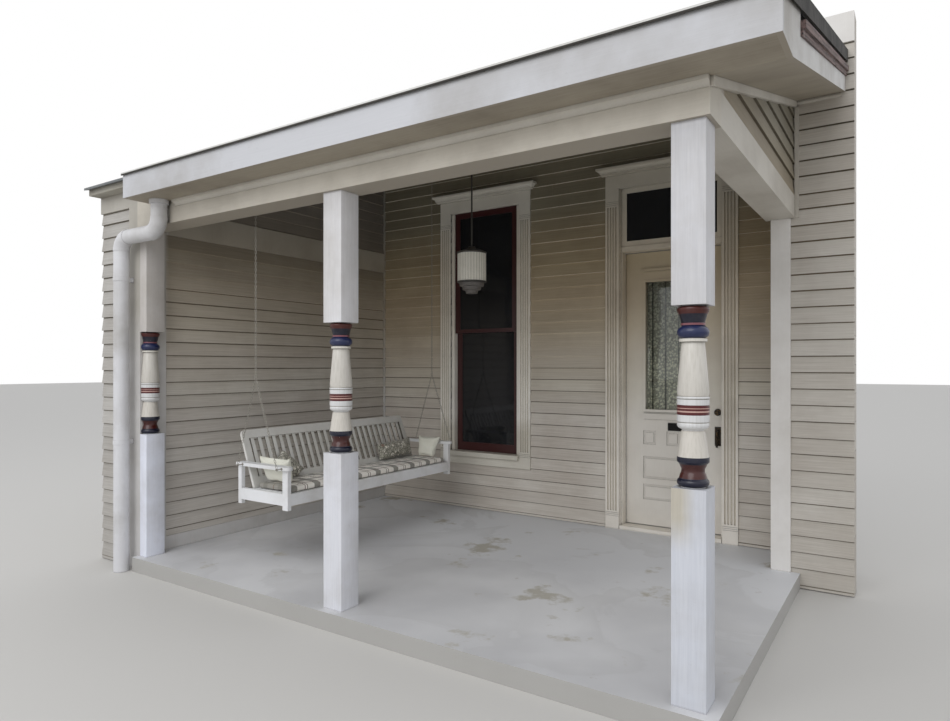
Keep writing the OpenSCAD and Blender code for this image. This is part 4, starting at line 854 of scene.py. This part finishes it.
MAIL_SLOT_END = -0.66
bronze, surface, at = new_material("dark_bronze_with_worn_edges")
tone = mix(ramp(noise(at, 0.015, 4), (0.50, 0), (0.72, 1)), "2b2622", "6d5634")
on_slot = maths("LESS_THAN", part(at, "X"), MAIL_SLOT_END)
dress(surface, mix(on_slot, tone, "151413"), 0.45, Metallic=0.7)
coat(bronze, "door_hardware", "door_hinges")

# WINDOW SASHES
# Two pine sashes, one above the other, in dark red gloss, the red darkened in part as painted shade, with
# painted shade in their corners. Their glass is made with the door's.
coat(brushed_paint("dark_red_gloss_with_painted_shade_on_sashes", "431f1f", "2e1617", "z", grime=0.2, roughness=0.35,
                   corners="180d0d"), "window_sashes")

# LANTERN
# A ribbed milk glass drum between a dark spun cap and a stepped foot, on an iron stem. One face of each of
# the thirty grooves of the glass is darker, a painted shade.
SHADE_RIBS = 30
SHADE_GROOVE = 0.003
SHADE_T = 0.0045
iron, surface, at = new_material("dusty_lacquered_iron")
shade_low, shade_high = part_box("lantern_shade")
on_foot = maths("LESS_THAN", part(at, "Z"), shade_low.z - 0.014)
tone = mix(noise(at, 0.03, 4), mix(on_foot, "2c2a27", "6e6965"), "4d4944")
dress(surface, tone, 0.5)
coat(iron, "lantern_metal")
milk = mottled("milk_glass", "e6e3d8", "d3cfc2", 0.06, 3, 0.3)
groove_shade = mottled("painted_shade_in_the_grooves_of_the_glass", "8f897c", "b4afa2", 0.02, 3, 0.7)
centre = (shade_low + shade_high) / 2
outer = (shade_high.x - shade_low.x) / 2
drum = bmesh.new()
steps = SHADE_RIBS * 8
rows = []
for r, z in ((outer - SHADE_T, shade_low.z), (outer, shade_low.z), (outer, shade_high.z),
             (outer - SHADE_T, shade_high.z)):
    row = []
    for i in range(steps):
        phase = i % 8
        cut_in = SHADE_GROOVE if phase in (0, 1) else 0.0006 * abs(phase - 4.5)
        angle = 2 * math.pi * i / steps
        out = r - cut_in * (r == outer)
        row.append(drum.verts.new((centre.x + out * math.cos(angle), centre.y + out * math.sin(angle), z)))
    rows.append(row)
for i, face in enumerate(skin(drum, rows + rows[:1])):
    # the first face of each groove, on the drum's outside, takes the painted shade
    face.material_index = 1 if i // steps == 1 and i % 8 == 0 else 0
piece("ribbed_shade", drum, [milk, groove_shade], "porch", ["lantern_shade"], outward=True)

# DOWNSPOUT
# Round sheet metal pipe with socketed bends, strapped to the corner board, painted white. A seam
# ring shows at each socket.
PIPE_R = 0.052
PIPE_BEND = 0.095
COLLAR_R = 0.062
STRAP_R = 0.055
OUTLET_DROP = 0.130
pipe_paint = brushed_paint("dusty_white_paint_on_sheet_metal", "d8d8db", "98938a", "z", roughness=0.45)
coat(pipe_paint, "downspout")


def ring(mesh, centre, axis, major, minor, around=28):
    """A closed round ring of wire about an axis."""
    turn = Vector(axis).to_track_quat("Z", "Y").to_matrix()
    rows = [[mesh.verts.new(centre + turn @ Vector(((major + x) * math.cos(a), (major + x) * math.sin(a), y)))
             for x, y in circle(minor, 8)]
            for a in [2 * math.pi * i / around for i in range(around)]]
    skin(mesh, (rows + rows[:1])[::-1], smooth=True)


seams = bmesh.new()
pipe_low, pipe_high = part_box("downspout")
outlet = Vector((pipe_high.x - COLLAR_R, pipe_low.y + COLLAR_R, pipe_high.z - OUTLET_DROP))
foot = Vector((pipe_low.x + STRAP_R, outlet.y, outlet.z - 2 * PIPE_BEND))
ring(seams, outlet + Vector((0, 0, 0.060)), (0, 0, 1), PIPE_R, 0.002, around=48)
for share in (0.02, 0.34, 0.67, 0.98):
    turn = math.pi / 2 * share
    into = Vector((-math.sin(turn), 0, -math.cos(turn)))
    off = Vector((PIPE_BEND * (1 - math.cos(turn)), 0, PIPE_BEND * math.sin(turn)))
    for middle in (outlet - off, foot + off):
        ring(seams, middle, into, PIPE_R + 0.0015, 0.0018, around=48)
piece("downspout_seam_rings", seams, pipe_paint, "porch", sharp=0)

# SWING
# A bolted bench of planed boards in white paint, on two welded chains. Each chain divides over its
# arm in two branches, which take hold of the arm by bolts.
LINK_PITCH = 0.020
LINK_LONG = 0.026
LINK_WIDE = 0.014
LINK_WIRE = 0.0018
HINGE_AXIS = Vector((0, math.cos(ROOF_PITCH), math.sin(ROOF_PITCH)))
HANGER = Vector((-3.015, 0.23, 2.6515))
CHAIN_OUT = 0.04
CHAIN_FORK = 1.395
ARM_BOLT = 0.778
BOLTS = (-3.2075, -2.80)
coat(brushed_paint("weathered_and_lit_white_paint_on_swing", "ebecee", "b3aea5", "y"), "swing_seat",
     "swing_arms")
# the slats' corners and the sides that face each other are painted dark, a painted shade between the slats
slat_paint = brushed_paint("white_paint_on_the_slats", "dddcd8", "a8a296", "z", roughness=0.55,
                           corners="2b2823", reach=0.045)
back_low, back_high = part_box("swing_back")
slat_paint = painted_over(slat_paint, "white_paint_with_painted_shade_on_the_near_sides", "68645b",
                          "MIX", ny=(-0.4, -0.6), y=(back_low.y + 0.05, back_low.y + 0.06))
slat_paint = painted_over(slat_paint, "white_paint_with_painted_shade_between_the_slats", "68645b",
                          "MIX", ny=(0.4, 0.6), y=(back_high.y - 0.05, back_high.y - 0.06))
coat(slat_paint, "swing_back")
galvanised = mottled("dull_galvanised_steel", "86827a", "b4b0a7", 0.01, 4, 0.5, metallic=0.5)
coat(galvanised, "swing_hooks")


def oval_link(mesh, centre, along, flat):
    """One welded link: a wire bent to a long ring in the plane of along and flat."""
    half = (LINK_LONG - LINK_WIDE) / 2
    bend = LINK_WIDE / 2 - LINK_WIRE
    rows = []
    for i in range(12):
        a = math.pi * (i + 0.5) / 6
        middle = centre + along * (math.sin(a) * bend + math.copysign(half, math.sin(a)))
        middle += flat * math.cos(a) * bend
        outward = along * math.sin(a) + flat * math.cos(a)
        rows.append([mesh.verts.new(middle + outward * x + along.cross(flat) * y)
                     for x, y in circle(LINK_WIRE, 6)])
    skin(mesh, rows + rows[:1], smooth=True)


def chain(mesh, top, bottom):
    """Links between two points, each turned a quarter against the last."""
    along = (bottom - top).normalized()
    flat = along.orthogonal().normalized()
    count = round((bottom - top).length / LINK_PITCH)
    for i in range(count):
        centre = top + (bottom - top) * ((i + 0.5) / count)
        oval_link(mesh, centre, along, flat if i % 2 else along.cross(flat))


chains = bmesh.new()
arm_low, arm_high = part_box("swing_arms")
for arm, side in ((arm_low.y, 1), (arm_high.y, -1)):
    y = arm - CHAIN_OUT * side
    hang = HANGER + Vector((0, y - HANGER.y, roof_rise * (y - HANGER.y)))
    fork = Vector((hang.x, y, CHAIN_FORK))
    ring(chains, hang, HINGE_AXIS, 0.0078, 0.0033)
    chain(chains, hang - Vector((0, 0, 0.009)), fork + Vector((0, 0, 0.008)))
    ring(chains, fork, BACK, 0.010, 0.0025)
    for x in BOLTS:
        bolt = Vector((x, y, ARM_BOLT))
        toward = (bolt - fork).normalized()
        chain(chains, fork + toward * 0.008, bolt - toward * 0.008)
        ring(chains, bolt, BACK, 0.0075, 0.002)
        # the bolt's shank through the ring, its square head, and a washer on the arm
        for r, y0, y1, sides in ((0.003, y - 0.006 * side, arm, 12),
                                 (0.006, y - 0.010 * side, y - 0.005 * side, 6),
                                 (0.009, arm - 0.002 * side, arm, 20)):
            prism(chains, *[[(x + h, level, ARM_BOLT + v) for h, v in circle(r, sides)]
                            for level in (y0, y1)])
piece("swing_chain_links", chains, galvanised, "swing", ["swing_chains"], sharp=50,
      outward=True)

# SEAT PAD AND PILLOWS
# Cotton covers stuffed with fibre: a long plaid pad on the seat, two flowered pillows against the
# back and two plain ones against the arms. Each is a slack skin blown up as cloth.
FRAMES = 20
CLOTH = {"quality": 4, "mass": 0.15, "tension_stiffness": 12, "compression_stiffness": 12,
         "shear_stiffness": 4, "bending_stiffness": 0.3, "use_pressure": True,
         "uniform_pressure_force": 4}


def stuffed(name, node, material, slack, keep, cap=0.010, voxel=0.006):
    """Weaves a skin over the soft CAD solid, starts it slack, blows it up as cloth and caps how far
    each point may move. keep has the last word on a point."""
    soft = placed(name, cad[node].data.copy())
    weave = soft.modifiers.new("weave", "REMESH")
    weave.mode = "VOXEL"
    weave.voxel_size = voxel
    woven = bpy.data.meshes.new_from_object(soft.evaluated_get(bpy.context.evaluated_depsgraph_get()))
    soft.modifiers.clear()
    soft.data = woven
    cover = bmesh.new()
    cover.from_mesh(woven)
    for _ in range(5):
        bmesh.ops.smooth_vert(cover, verts=cover.verts[:], factor=0.5, use_axis_x=True, use_axis_y=True,
                              use_axis_z=True)
    cover.normal_update()
    for vert in cover.verts:
        vert.co -= vert.normal * slack
    cover.to_mesh(woven)
    cover.free()
    rest = [vert.co.copy() for vert in woven.vertices]
    blown = soft.modifiers.new("blown", "CLOTH")
    for key, value in CLOTH.items():
        setattr(blown.settings, key, value)
    blown.settings.effector_weights.gravity = 0
    blown.point_cache.frame_end = FRAMES
    for step in range(1, FRAMES + 1):
        bpy.context.scene.frame_set(step)
    result = soft.evaluated_get(bpy.context.evaluated_depsgraph_get()).data
    moved = [vert.co.copy() for vert in result.vertices]
    soft.modifiers.clear()
    bpy.context.scene.frame_set(1)
    for vert, before, after in zip(woven.vertices, rest, moved):
        travel = after - before
        if travel.length > cap:
            travel *= cap / travel.length
        vert.co = before + travel
    for vert in woven.vertices:
        vert.co = keep(vert.co)
    woven.materials.clear()
    woven.materials.append(material)
    woven.shade_smooth()
    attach(soft, "swing")
    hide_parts(node)


def cloth(name):
    """A cotton material with a 1.2 mm weave, and its surface and place."""
    material, surface, at = new_material(name)
    dress(surface, "ffffff", 0.9, (noise(at, 0.035, 3), 0.5, 0.006), Sheen_Weight=0.2)
    fine = add("Bump", {"Height": cells(at, 0.0012), "Strength": 0.2, "Distance": 0.0004})
    surface.id_data.links.new(fine.outputs[0], surface.inputs["Normal"].links[0].from_node.inputs["Normal"])
    return material, surface, at


# each plaid repeat is 0.215 m along the bench and 0.15 m across: a broad grey green band with a
# brown line on each side of it, on cream
plaid, surface, at = cloth("plaid_cotton_of_the_seat_pad")
tone = "f2eee6"
for axis, pitch, colour, stops in (
        ("Y", 0.215, "6f6c62", ((0.0, 0.0), (0.60, 0.8), (0.86, 0.0))),
        ("X", 0.15, "75726a", ((0.0, 0.0), (0.42, 0.62), (0.70, 0.0))),
        ("Y", 0.215, "6a4a3b", ((0.0, 0.0), (0.18, 0.8), (0.215, 0.0), (0.28, 0.8), (0.315, 0.0))),
        ("X", 0.15, "6a4a3b", ((0.0, 0.0), (0.10, 0.7), (0.15, 0.0)))):
    tone = mix(stripes(part(at, axis), pitch, *stops), tone, colour)
dress(surface, tone, 0.9)

# the print: pale leaves about 38 mm across, dark veins between them and brown blooms
flowered, surface, at = cloth("leafy_print_on_cotton")
place = mix(0.035, at, noise(at, 0.04, 3, output="Color"))
leaves = ramp(cells(place, 0.038), (0.28, 1), (0.42, 0))
veins = ramp(cells(place, 0.021, "DISTANCE_TO_EDGE"), (0.03, 0.85), (0.12, 0))
blooms = ramp(cells(at, 0.075), (0.16, 0.8), (0.24, 0))
tone = mix(veins, mix(leaves, "aca99c", "f0ece0"), "403e36")
dress(surface, mix(blooms, tone, "7d6252"), 0.9)

plain, surface, at = cloth("plain_cream_cotton")
dress(surface, mix(noise(at, 0.12, 4), "efeee2", "dddccd"), 0.9)

pad_low, pad_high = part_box("seat_cushion")
pillows_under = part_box("floral_pillows")[0].z


def pad_keeps(co):
    """The pad lies on the seat, ends before the back and the arms, and lies flat under the pillows."""
    pressed = co.x < pad_low.x + 0.13 or co.y < pad_low.y + 0.10 or co.y > pad_high.y - 0.10
    co.z = min(max(co.z, pad_low.z + 0.0003), pad_high.z - 0.0002 if pressed else pad_high.z + 0.008)
    co.x = min(max(co.x, pad_low.x), pad_high.x + 0.006)
    co.y = min(max(co.y, pad_low.y - 0.003), pad_high.y + 0.003)
    return co


def pillow_keeps(co):
    """The pillows stand on the pad."""
    co.z = max(co.z, pillows_under + 0.0004)
    return co


stuffed("plaid_seat_pad", "seat_cushion", plaid, 0.004, pad_keeps, voxel=0.007)
stuffed("flowered_pillows", "floral_pillows", flowered, 0.006, pillow_keeps)
stuffed("cream_pillows", "plain_pillows", plain, 0.006, pillow_keeps)
